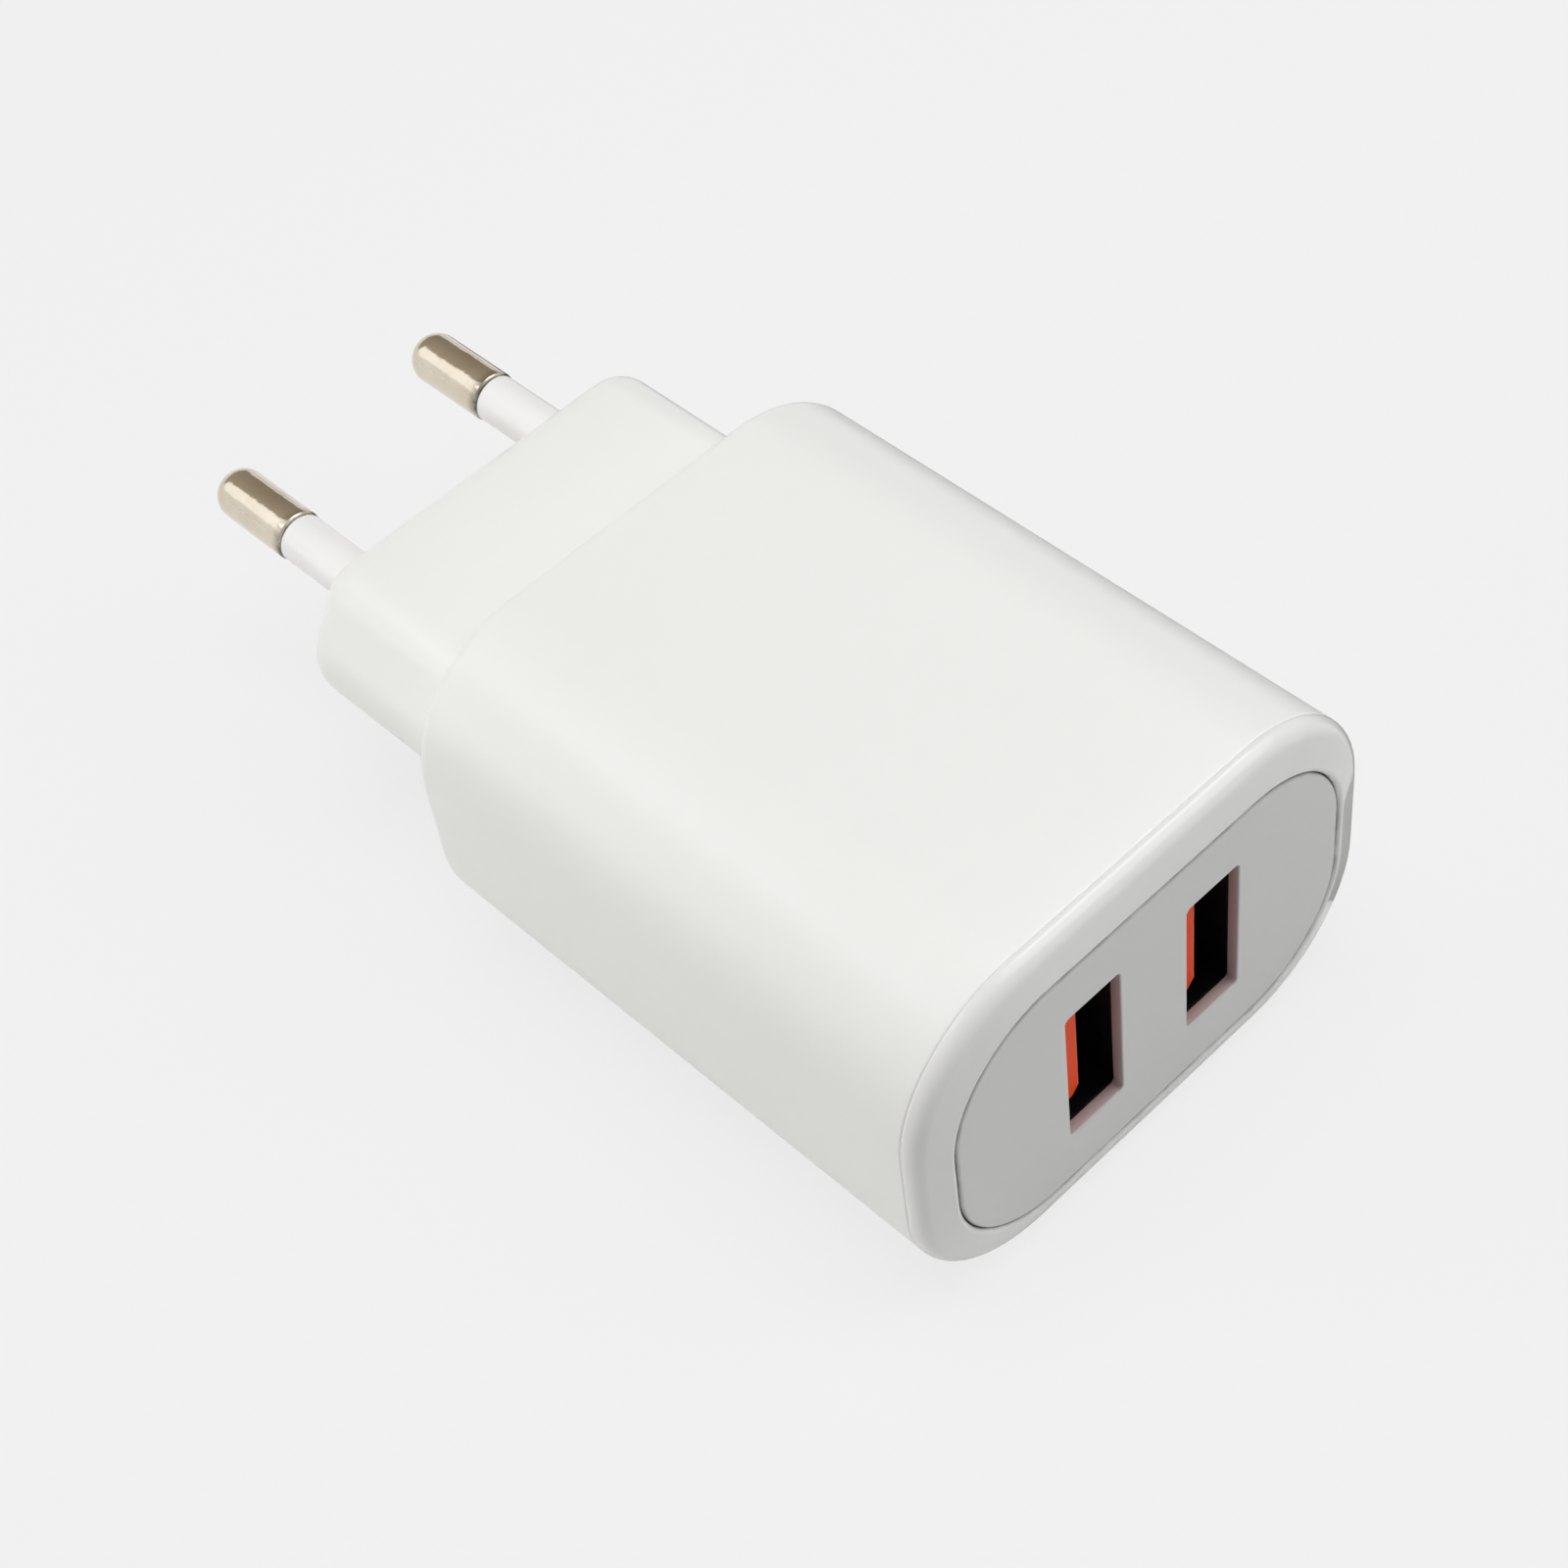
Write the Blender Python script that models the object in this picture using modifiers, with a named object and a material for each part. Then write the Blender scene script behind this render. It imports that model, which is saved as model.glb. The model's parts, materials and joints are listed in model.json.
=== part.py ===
"""Two-port USB wall charger with a two-pin mains plug, built as separate pieces.

Metres, +Z up. The charger lies on its broad face, ports towards -Y and pins towards +Y.
The origin is the middle of the charger's length and width, on the surface that it lies on.
"""
import math

import bmesh
import bpy
from mathutils import Vector

MM = 0.001

# Fits and facets
GAP = 0.3 * MM
CUT_MARGIN = 1.0 * MM
ARC_STEPS = 8
TURN_STEPS = 20
RIM_STEPS = 4
SMALL_RIM_STEPS = 2
SHARP_ANGLE = math.radians(35)
MERGE_DISTANCE = 0.01 * MM

# Body
BODY_WIDTH = 41.0 * MM
BODY_HEIGHT = 27.0 * MM
BODY_LENGTH = 46.5 * MM
BODY_CORNER = 10.2 * MM
REAR_EDGE = 1.2 * MM
WALL = 2.0 * MM
RAIL_WIDTH = 1.5 * MM
RAIL_SPACING = 20.0 * MM

# Front bezel and faceplate
BEZEL_DEPTH = 1.9 * MM
BEZEL_WIDTH = 2.8 * MM
BEZEL_EDGE = 1.6 * MM
LEDGE_WIDTH = 1.1 * MM
LEDGE_DEPTH = 1.9 * MM
PLATE_THICKNESS = 2.0 * MM
PLATE_RECESS = 0.2 * MM
PLATE_CORNER = 8.4 * MM
PLATE_EDGE = 0.3 * MM
WINDOW_WIDTH = 4.9 * MM
WINDOW_HEIGHT = 12.3 * MM
WINDOW_CORNER = 0.4 * MM
WINDOW_LIP = 1.1 * MM

# Plug section: a flattened hexagon, flat on top and underneath, pointed at the sides
PLUG_WIDTH = 34.0 * MM
PLUG_HEIGHT = 13.4 * MM
PLUG_FLAT = 27.1 * MM
PLUG_LENGTH = 18.0 * MM
PLUG_SIDE_CORNER = 4.0 * MM
PLUG_FLAT_CORNER = 2.6 * MM
PLUG_WALL = 2.0 * MM
NOSE_EDGE = 2.3 * MM
NOSE_WALL = 3.0 * MM
FLANGE_THICKNESS = 1.5 * MM

# Pins and their sleeves
PIN_SPACING = 19.0 * MM
PIN_LENGTH = 18.0 * MM
PIN_RADIUS = 2.0 * MM
PIN_CORE_RADIUS = 1.2 * MM
PIN_TIP = 1.7 * MM
PIN_HEAD = 1.5 * MM
PIN_TAIL = 6.0 * MM
SLEEVE_LENGTH = 9.4 * MM
SLEEVE_RADIUS = 1.9 * MM
COLLAR_RADIUS = 2.8 * MM
COLLAR_LENGTH = 1.2 * MM

# Strips that join the pins to the board
STRIP_WIDTH = 3.0 * MM
STRIP_THICKNESS = 0.4 * MM
STRIP_FOOT = 3.0 * MM
STRIP_EDGE_DISTANCE = 0.5 * MM

# USB sockets, on edge, side by side
PORT_PITCH = 11.0 * MM
SHELL_WIDTH = 5.72 * MM
SHELL_HEIGHT = 13.1 * MM
SHELL_WALL = 0.3 * MM
SHELL_DEPTH = 13.5 * MM
LEG_WIDTH = 2.0 * MM
LEG_REACH = 0.8 * MM
LEG_SETBACK = 8.0 * MM
TONGUE_THICKNESS = 1.84 * MM
TONGUE_HEIGHT = 11.1 * MM
TONGUE_LENGTH = 8.9 * MM
TONGUE_SETBACK = 1.6 * MM
TONGUE_CHAMFER = 0.7 * MM
GROOVE_DEPTH = 0.95 * MM
GROOVE_START = 0.8 * MM
GROOVE_POCKET = 0.8 * MM

# Sprung contacts on the tongue
CONTACT_WIDTH = 1.0 * MM
CONTACT_THICKNESS = 0.2 * MM
CONTACT_ROOT_DEPTH = 0.45 * MM
CONTACT_RISE = 0.45 * MM
CONTACT_SHOULDER = 0.36 * MM
CONTACT_OFFSETS = (-3.5 * MM, -1.0 * MM, 1.0 * MM, 3.5 * MM)
CONTACT_TIP_GAP = 0.6 * MM
CONTACT_BUMP = 2.4 * MM

# Circuit board and the parts on it
BOARD_THICKNESS = 1.6 * MM
PART_SPACING = 0.8 * MM
BARRIER_THICKNESS = 0.6 * MM
BARRIER_HEIGHT = 13.0 * MM
CORE_LENGTH = 7.0 * MM
CORE_WIDTH = 16.0 * MM
CORE_THICKNESS = 6.0 * MM
CORE_BACK = 2.5 * MM
CORE_SIDE_LEG = 2.5 * MM
CORE_CENTRE_LEG = 4.5 * MM
BOBBIN_HEIGHT = 13.0 * MM
BOBBIN_WALL = 0.8 * MM
WINDING_MARGIN = 0.5 * MM
BULK_RADIUS = 4.0 * MM
BULK_HEIGHT = 13.5 * MM
OUTPUT_RADIUS = 3.15 * MM
OUTPUT_HEIGHT = 11.0 * MM
OUTPUT_SETBACK = 4.0 * MM
CAN_EDGE = 0.4 * MM
INDUCTOR_RADIUS = 3.25 * MM
INDUCTOR_HEIGHT = 9.0 * MM
INDUCTOR_WAIST = 2.3 * MM
INDUCTOR_FLANGE = 1.0 * MM
DISC_RADIUS = 3.5 * MM
DISC_THICKNESS = 3.0 * MM
OPTO_SIZE = Vector((6.4 * MM, 4.6 * MM, 3.5 * MM))
FUSE_SIZE = Vector((7.0 * MM, 4.3 * MM, 7.7 * MM))
BRIDGE_SIZE = Vector((6.5 * MM, 6.0 * MM, 2.5 * MM))
FLAT_PACKAGE_WIDTH = 4.9 * MM
FLAT_PACKAGE_LENGTH = 3.9 * MM
FLOOR_CLEARANCE = 1.0 * MM
PACKAGE_EDGE = 0.2 * MM

# Places that follow from the sizes
FRONT = -(BODY_LENGTH + PLUG_LENGTH + PIN_LENGTH) / 2
BODY_REAR = FRONT + BODY_LENGTH
NOSE = BODY_REAR + PLUG_LENGTH
MID_Z = BODY_HEIGHT / 2
BEZEL_REAR = FRONT + BEZEL_DEPTH
PLATE_FRONT = FRONT + PLATE_RECESS
PLATE_REAR = PLATE_FRONT + PLATE_THICKNESS
LEDGE_REAR = PLATE_REAR + GAP + LEDGE_DEPTH
SHELL_FRONT = PLATE_FRONT + WINDOW_LIP + GAP
SHELL_REAR = SHELL_FRONT + SHELL_DEPTH
TONGUE_FRONT = PLATE_FRONT + TONGUE_SETBACK
TONGUE_REAR = TONGUE_FRONT + TONGUE_LENGTH
FLANGE_REAR = BODY_REAR - WALL - GAP
FLANGE_FRONT = FLANGE_REAR - FLANGE_THICKNESS
FLANGE_LAP = (BODY_WIDTH - PLUG_WIDTH) / 2 - WALL - GAP
SLEEVE_END = NOSE + SLEEVE_LENGTH
COLLAR_REAR = NOSE - NOSE_WALL - GAP
COLLAR_FRONT = COLLAR_REAR - COLLAR_LENGTH
PIN_INNER_END = COLLAR_FRONT - GAP - PIN_HEAD - PIN_TAIL
BOARD_TOP = MID_Z - SHELL_HEIGHT / 2 - GAP
BOARD_BOTTOM = BOARD_TOP - BOARD_THICKNESS
BOARD_FRONT = LEDGE_REAR + GAP
BOARD_REAR = FLANGE_FRONT - GAP
SEAT = BOARD_TOP + GAP
UNDER_SEAT = BOARD_BOTTOM - GAP
FLAT_PACKAGE_HEIGHT = UNDER_SEAT - WALL - FLOOR_CLEARANCE
BARRIER_FRONT = SHELL_REAR + PART_SPACING
CORE_MID_Y = BARRIER_FRONT + BARRIER_THICKNESS + PART_SPACING + CORE_WIDTH / 2
CORE_MID_Z = SEAT + BOBBIN_HEIGHT / 2
SIDE_X = CORE_LENGTH + GAP / 2 + PART_SPACING
REAR_ROW_Y = CORE_MID_Y + CORE_WIDTH / 2 + PART_SPACING
SIDES = {"left": -1, "right": 1}

# Colours, roughness and metallic value of each finish
WHITE_SATIN = ((0.86, 0.86, 0.85), 0.38, 0.0)
WHITE_GLOSS = ((0.86, 0.86, 0.85), 0.12, 0.0)
PLATE_WHITE = ((0.78, 0.79, 0.79), 0.3, 0.0)
NICKEL = ((0.62, 0.57, 0.48), 0.22, 1.0)
DARK_PLATE = ((0.06, 0.06, 0.065), 0.4, 1.0)
ORANGE_PLASTIC = ((0.80, 0.12, 0.03), 0.35, 0.0)
GOLD_PLATE = ((0.83, 0.62, 0.25), 0.25, 1.0)
BRASS_STRIP = ((0.75, 0.58, 0.28), 0.3, 1.0)
BOARD_GREEN = ((0.05, 0.22, 0.09), 0.45, 0.0)
FERRITE = ((0.06, 0.06, 0.065), 0.6, 0.0)
BOBBIN_BLACK = ((0.03, 0.03, 0.03), 0.5, 0.0)
TAPE_YELLOW = ((0.82, 0.62, 0.08), 0.35, 0.0)
CAN_BLACK = ((0.04, 0.04, 0.05), 0.3, 0.0)
CAN_ALUMINIUM = ((0.75, 0.76, 0.77), 0.3, 1.0)
DISC_BLUE = ((0.08, 0.22, 0.6), 0.4, 0.0)
PACKAGE_BLACK = ((0.03, 0.03, 0.03), 0.45, 0.0)
FUSE_BROWN = ((0.25, 0.12, 0.06), 0.4, 0.0)
SHEET_CREAM = ((0.8, 0.76, 0.62), 0.5, 0.0)

# How an outline's two coordinates and its depth map to X, Y and Z
PLANES = {
    "XZ": lambda a, b, depth: (a, depth, b),
    "YZ": lambda a, b, depth: (depth, a, b),
    "XY": lambda a, b, depth: (a, b, depth),
}


def clear_scene():
    """Remove what the new file holds."""
    for old in list(bpy.data.objects):
        bpy.data.objects.remove(old, do_unlink=True)


def new_collection(name):
    """Add a collection to the scene."""
    collection = bpy.data.collections.new(name)
    bpy.context.scene.collection.children.link(collection)
    return collection


def rectangle(width, height, mid=(0.0, 0.0)):
    """Corners of a rectangle, counter-clockwise."""
    signs = ((-1, -1), (1, -1), (1, 1), (-1, 1))
    return [Vector((mid[0] + sx * width / 2, mid[1] + sy * height / 2)) for sx, sy in signs]


def inset_corners(corners, inset):
    """Move every side of a convex outline inwards by the inset."""
    moved = []
    for index, corner in enumerate(corners):
        before = (corners[index - 1] - corner).normalized()
        after = (corners[(index + 1) % len(corners)] - corner).normalized()
        half_angle = before.angle(after) / 2
        moved.append(corner + (before + after).normalized() * inset / math.sin(half_angle))
    return moved


def rounded(corners, radii):
    """Replace each corner of a convex outline by an arc that meets both sides."""
    points = []
    for index, corner in enumerate(corners):
        before = (corners[index - 1] - corner).normalized()
        after = (corners[(index + 1) % len(corners)] - corner).normalized()
        half_angle = before.angle(after) / 2
        radius = radii[index]
        centre = corner + (before + after).normalized() * radius / math.sin(half_angle)
        start = corner + before * radius / math.tan(half_angle) - centre
        turn = math.pi - 2 * half_angle
        for step in range(ARC_STEPS + 1):
            angle = turn * step / ARC_STEPS
            swing = Vector((math.cos(angle), math.sin(angle)))
            spun = Vector((start.x * swing.x - start.y * swing.y, start.x * swing.y + start.y * swing.x))
            points.append(centre + spun)
    return points


def body_outline(inset=0.0, corner=None):
    """Rounded rectangle of the body's section in X and Z, drawn in by the inset."""
    corners = inset_corners(rectangle(BODY_WIDTH, BODY_HEIGHT, (0.0, MID_Z)), inset)
    radius = BODY_CORNER - inset if corner is None else corner
    return rounded(corners, [radius] * len(corners))


def plug_tip():
    """Distance from the middle to the plug's side corner before rounding.

    The flank runs from the flat's end and touches the side arc, so the rounded section is the plug's width.
    """
    arc_centre = PLUG_WIDTH / 2 - PLUG_SIDE_CORNER
    to_flat = Vector((PLUG_FLAT / 2 - arc_centre, PLUG_HEIGHT / 2))
    slope = math.atan2(to_flat.y, to_flat.x) - math.acos(PLUG_SIDE_CORNER / to_flat.length)
    return arc_centre + PLUG_SIDE_CORNER / math.cos(slope)


def plug_outline(inset=0.0):
    """Flattened hexagon of the plug section in X and Z, drawn in by the inset."""
    half_flat, half_height = PLUG_FLAT / 2, PLUG_HEIGHT / 2
    corners = [
        Vector((-plug_tip(), MID_Z)),
        Vector((-half_flat, MID_Z - half_height)),
        Vector((half_flat, MID_Z - half_height)),
        Vector((plug_tip(), MID_Z)),
        Vector((half_flat, MID_Z + half_height)),
        Vector((-half_flat, MID_Z + half_height)),
    ]
    side, flat = PLUG_SIDE_CORNER - inset, PLUG_FLAT_CORNER - inset
    return rounded(inset_corners(corners, inset), [side, flat, flat, side, flat, flat])


def window_outline(mid_x):
    """Rounded rectangle of one port window in X and Z."""
    corners = rectangle(WINDOW_WIDTH, WINDOW_HEIGHT, (mid_x, MID_Z))
    return rounded(corners, [WINDOW_CORNER] * len(corners))


def strip_outline(path, thickness):
    """Outline of a bent strip: the path moved half a thickness to each side."""
    left, right = [], []
    for index, point in enumerate(path):
        ahead = (path[min(index + 1, len(path) - 1)] - point).normalized()
        behind = (point - path[max(index - 1, 0)]).normalized()
        along = (ahead + behind).normalized()
        across = Vector((-along.y, along.x))
        reach = thickness / 2 / max(along.dot(ahead), along.dot(behind))
        left.append(point + across * reach)
        right.append(point - across * reach)
    return left + right[::-1]


def add_object(name, mesh, collection):
    """Put a mesh into a collection as a named object."""
    piece = bpy.data.objects.new(name, mesh)
    collection.objects.link(piece)
    return piece


def prism(name, outline, start, end, collection, plane="XZ", start_edge=0.0, end_edge=0.0,
          edge_steps=RIM_STEPS):
    """Extrude an outline from start to end, with a rounded rim at either end where asked."""
    place = PLANES[plane]
    work = bmesh.new()
    base = work.faces.new([work.verts.new(place(point[0], point[1], start)) for point in outline])
    grown = bmesh.ops.extrude_face_region(work, geom=[base])["geom"]
    top = next(item for item in grown if isinstance(item, bmesh.types.BMFace))
    shift = Vector(place(0.0, 0.0, end)) - Vector(place(0.0, 0.0, start))
    bmesh.ops.translate(work, verts=top.verts, vec=shift)
    bmesh.ops.recalc_face_normals(work, faces=work.faces)
    rims = ((list(base.edges), start_edge), (list(top.edges), end_edge))
    for edges, radius in rims:
        if radius > 0:
            bmesh.ops.bevel(work, geom=edges, offset=radius, offset_type="OFFSET", segments=edge_steps,
                            profile=0.5, affect="EDGES")
    mesh = bpy.data.meshes.new(name)
    work.to_mesh(mesh)
    work.free()
    return add_object(name, mesh, collection)


def block(name, low, high, collection, edge=0.0):
    """A box between two corners, with its edges bevelled where asked."""
    low, high = Vector(low), Vector(high)
    work = bmesh.new()
    bmesh.ops.create_cube(work, size=1.0)
    bmesh.ops.scale(work, vec=high - low, verts=work.verts)
    mesh = bpy.data.meshes.new(name)
    work.to_mesh(mesh)
    work.free()
    piece = add_object(name, mesh, collection)
    piece.location = (low + high) / 2
    if edge > 0:
        bevel = piece.modifiers.new("edges", "BEVEL")
        bevel.width = edge
        bevel.segments = 1
    return piece


def seated_block(name, mid_x, mid_y, size, collection):
    """A package that stands on the board."""
    low = (mid_x - size.x / 2, mid_y - size.y / 2, SEAT)
    high = (mid_x + size.x / 2, mid_y + size.y / 2, SEAT + size.z)
    return block(name, low, high, collection, PACKAGE_EDGE)


def hung_block(name, mid_y, collection):
    """A flat package in the middle of the board's underside, clear of the housing's floor."""
    low = (-FLAT_PACKAGE_WIDTH / 2, mid_y - FLAT_PACKAGE_LENGTH / 2, UNDER_SEAT - FLAT_PACKAGE_HEIGHT)
    high = (FLAT_PACKAGE_WIDTH / 2, mid_y + FLAT_PACKAGE_LENGTH / 2, UNDER_SEAT)
    return block(name, low, high, collection, PACKAGE_EDGE)


def cylinder(name, radius, depth, location, collection, axis="Z", edge=0.0):
    """A round piece along X, Y or Z, centred on its location, with bevelled rims where asked."""
    work = bmesh.new()
    bmesh.ops.create_cone(work, cap_ends=True, segments=TURN_STEPS, radius1=radius, radius2=radius,
                          depth=depth)
    if edge > 0:
        rims = [rim for rim in work.edges if abs(rim.verts[0].co.z - rim.verts[1].co.z) < depth / 2]
        bmesh.ops.bevel(work, geom=rims, offset=edge, offset_type="OFFSET", segments=SMALL_RIM_STEPS,
                        profile=0.5, affect="EDGES")
    mesh = bpy.data.meshes.new(name)
    work.to_mesh(mesh)
    work.free()
    piece = add_object(name, mesh, collection)
    piece.location = location
    piece.rotation_euler = {"X": (0, math.pi / 2, 0), "Y": (-math.pi / 2, 0, 0), "Z": (0, 0, 0)}[axis]
    return piece


def turned(name, profile, collection, closed=False):
    """Spin a profile of radius and height about Z; the profile runs down its outer side."""
    mesh = bpy.data.meshes.new(name)
    count = len(profile)
    edges = [(index, index + 1) for index in range(count - 1)]
    if closed:
        edges.append((count - 1, 0))
    mesh.from_pydata([(radius, 0.0, height) for radius, height in profile], edges, [])
    piece = add_object(name, mesh, collection)
    screw = piece.modifiers.new("turn", "SCREW")
    screw.axis = "Z"
    screw.angle = 2 * math.pi
    screw.steps = TURN_STEPS
    screw.render_steps = TURN_STEPS
    screw.use_merge_vertices = True
    screw.merge_threshold = MERGE_DISTANCE
    return piece


def combine(piece, other, operation):
    """Cut or join a piece with a hidden helper."""
    boolean = piece.modifiers.new(operation.lower(), "BOOLEAN")
    boolean.operation = operation
    boolean.solver = "EXACT"
    boolean.object = other
    other.display_type = "WIRE"
    other.hide_render = True


def finish(piece, look):
    """Give a piece its own material."""
    colour, roughness, metallic = look
    material = bpy.data.materials.new(piece.name)
    material.use_nodes = True
    shader = material.node_tree.nodes["Principled BSDF"]
    shader.inputs["Base Color"].default_value = (*colour, 1.0)
    shader.inputs["Roughness"].default_value = roughness
    shader.inputs["Metallic"].default_value = metallic
    piece.data.materials.append(material)


def smooth(piece):
    """Shade a round piece smooth, with its corners left sharp."""
    piece.data.shade_smooth()
    piece.data.set_sharp_from_angle(angle=SHARP_ANGLE)


def port_x(side):
    """Middle of a port across the charger."""
    return SIDES[side] * PORT_PITCH / 2


def make_housing(parts, cutters):
    """Shell of the body: open at the front, windowed for the plug section, with two rails for the board."""
    housing = prism("housing", body_outline(), BEZEL_REAR + GAP, BODY_REAR, parts, end_edge=REAR_EDGE)
    cavity = prism("housing_cavity", body_outline(WALL), FRONT, BODY_REAR - WALL, cutters)
    window = prism("plug_window", plug_outline(-GAP), FLANGE_FRONT, BODY_REAR + CUT_MARGIN, cutters)
    combine(housing, cavity, "DIFFERENCE")
    combine(housing, window, "DIFFERENCE")
    for side, sign in SIDES.items():
        mid_x = sign * RAIL_SPACING / 2
        low = (mid_x - RAIL_WIDTH / 2, BOARD_FRONT, WALL / 2)
        high = (mid_x + RAIL_WIDTH / 2, BOARD_REAR, UNDER_SEAT)
        combine(housing, block("rail_" + side, low, high, cutters), "UNION")
    smooth(housing)
    finish(housing, WHITE_SATIN)


def make_front_bezel(parts, cutters):
    """Rim with a rounded front edge, and the ledge inside the housing's mouth that backs the faceplate."""
    bezel = prism("front_bezel", body_outline(), FRONT, BEZEL_REAR, parts, start_edge=BEZEL_EDGE)
    ledge = prism("bezel_ledge", body_outline(WALL + GAP), FRONT + BEZEL_DEPTH / 2, LEDGE_REAR, cutters)
    rebate = prism("plate_rebate", body_outline(BEZEL_WIDTH, PLATE_CORNER), FRONT - CUT_MARGIN,
                   PLATE_REAR + GAP, cutters)
    mouth = prism("bezel_mouth", body_outline(BEZEL_WIDTH + LEDGE_WIDTH, PLATE_CORNER - LEDGE_WIDTH),
                  FRONT - CUT_MARGIN, LEDGE_REAR + CUT_MARGIN, cutters)
    combine(bezel, ledge, "UNION")
    combine(bezel, rebate, "DIFFERENCE")
    combine(bezel, mouth, "DIFFERENCE")
    smooth(bezel)
    finish(bezel, WHITE_GLOSS)


def make_faceplate(parts, cutters):
    """Insert with two port windows, pocketed behind for the socket shells."""
    plate = prism("faceplate", body_outline(BEZEL_WIDTH + GAP, PLATE_CORNER - GAP), PLATE_FRONT, PLATE_REAR,
                  parts, start_edge=PLATE_EDGE, edge_steps=SMALL_RIM_STEPS)
    for side in SIDES:
        mid_x = port_x(side)
        window = prism("port_window_" + side, window_outline(mid_x), PLATE_FRONT - CUT_MARGIN,
                       PLATE_REAR + CUT_MARGIN, cutters)
        pocket = prism("shell_pocket_" + side,
                       rectangle(SHELL_WIDTH + 2 * GAP, SHELL_HEIGHT + 2 * GAP, (mid_x, MID_Z)),
                       PLATE_FRONT + WINDOW_LIP, PLATE_REAR + CUT_MARGIN, cutters)
        combine(plate, window, "DIFFERENCE")
        combine(plate, pocket, "DIFFERENCE")
    finish(plate, PLATE_WHITE)


def make_plug_block(parts, cutters):
    """Hollow plug section with a flange inside the body and a bore for each pin sleeve."""
    plug = prism("plug_block", plug_outline(), FLANGE_FRONT, NOSE, parts, end_edge=NOSE_EDGE)
    flange = prism("plug_flange", plug_outline(-FLANGE_LAP), FLANGE_FRONT, FLANGE_REAR, cutters)
    hollow = prism("plug_hollow", plug_outline(PLUG_WALL), FLANGE_FRONT - CUT_MARGIN, NOSE - NOSE_WALL,
                   cutters)
    combine(plug, flange, "UNION")
    combine(plug, hollow, "DIFFERENCE")
    for side, sign in SIDES.items():
        place = (sign * PIN_SPACING / 2, NOSE - NOSE_WALL / 2, MID_Z)
        bore = cylinder("sleeve_bore_" + side, SLEEVE_RADIUS + GAP, NOSE_WALL + 2 * CUT_MARGIN, place,
                        cutters, "Y")
        combine(plug, bore, "DIFFERENCE")
    smooth(plug)
    finish(plug, WHITE_SATIN)


def make_pin(side, parts):
    """Round pin: rounded tip, full-width front half, thin core through the sleeve, head and tail inside."""
    tip, inner = NOSE + PIN_LENGTH, PIN_INNER_END
    profile = []
    for step in range(ARC_STEPS):
        angle = math.pi / 2 * step / ARC_STEPS
        profile.append((PIN_RADIUS * math.sin(angle), tip - PIN_TIP * (1 - math.cos(angle))))
    head_front = COLLAR_FRONT - GAP - PIN_HEAD
    profile += [
        (PIN_RADIUS, tip - PIN_TIP),
        (PIN_RADIUS, SLEEVE_END),
        (PIN_CORE_RADIUS, SLEEVE_END),
        (PIN_CORE_RADIUS, COLLAR_FRONT - GAP),
        (PIN_RADIUS, COLLAR_FRONT - GAP),
        (PIN_RADIUS, head_front),
        (PIN_CORE_RADIUS, head_front),
        (PIN_CORE_RADIUS, inner),
        (0.0, inner),
    ]
    pin = turned("pin_" + side, [(radius, height - NOSE) for radius, height in profile], parts)
    pin.location = (SIDES[side] * PIN_SPACING / 2, NOSE, MID_Z)
    pin.rotation_euler = (-math.pi / 2, 0, 0)
    smooth(pin)
    finish(pin, NICKEL)


def make_pin_sleeve(side, parts):
    """Tube round the pin's core, with a collar behind the nose of the plug."""
    end = SLEEVE_END - GAP
    bore = PIN_CORE_RADIUS + GAP
    profile = [
        (bore, end),
        (SLEEVE_RADIUS, end),
        (SLEEVE_RADIUS, COLLAR_REAR),
        (COLLAR_RADIUS, COLLAR_REAR),
        (COLLAR_RADIUS, COLLAR_FRONT),
        (bore, COLLAR_FRONT),
    ]
    sleeve = turned("pin_sleeve_" + side, [(radius, height - NOSE) for radius, height in profile], parts,
                    closed=True)
    sleeve.location = (SIDES[side] * PIN_SPACING / 2, NOSE, MID_Z)
    sleeve.rotation_euler = (-math.pi / 2, 0, 0)
    smooth(sleeve)
    finish(sleeve, WHITE_SATIN)


def make_pin_contact(side, parts):
    """Bent strip: foot on the board, riser, and an arm to the inner end of the pin."""
    riser = BOARD_REAR - STRIP_EDGE_DISTANCE
    half = STRIP_THICKNESS / 2
    path = [
        Vector((riser - STRIP_FOOT, SEAT + half)),
        Vector((riser - half, SEAT + half)),
        Vector((riser - half, MID_Z)),
        Vector((PIN_INNER_END - GAP, MID_Z)),
    ]
    mid_x = SIDES[side] * PIN_SPACING / 2
    strip = prism("pin_contact_" + side, strip_outline(path, STRIP_THICKNESS), mid_x - STRIP_WIDTH / 2,
                  mid_x + STRIP_WIDTH / 2, parts, plane="YZ")
    finish(strip, BRASS_STRIP)


def make_usb_shell(side, parts, cutters):
    """Folded metal shell, open at the front, with two legs through the board."""
    mid_x = port_x(side)
    half_width, half_height = SHELL_WIDTH / 2, SHELL_HEIGHT / 2
    shell = block("usb_shell_" + side, (mid_x - half_width, SHELL_FRONT, MID_Z - half_height),
                  (mid_x + half_width, SHELL_REAR, MID_Z + half_height), parts)
    low = (mid_x - half_width + SHELL_WALL, SHELL_FRONT - CUT_MARGIN, MID_Z - half_height + SHELL_WALL)
    high = (mid_x + half_width - SHELL_WALL, SHELL_REAR - SHELL_WALL, MID_Z + half_height - SHELL_WALL)
    combine(shell, block("shell_inside_" + side, low, high, cutters), "DIFFERENCE")
    for number, leg_x in enumerate(leg_places(side)):
        low = (leg_x - SHELL_WALL / 2, SHELL_FRONT + LEG_SETBACK - LEG_WIDTH / 2, BOARD_BOTTOM - LEG_REACH)
        high = (leg_x + SHELL_WALL / 2, SHELL_FRONT + LEG_SETBACK + LEG_WIDTH / 2, MID_Z)
        combine(shell, block("shell_leg_%s_%d" % (side, number), low, high, cutters), "UNION")
    finish(shell, DARK_PLATE)


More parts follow.
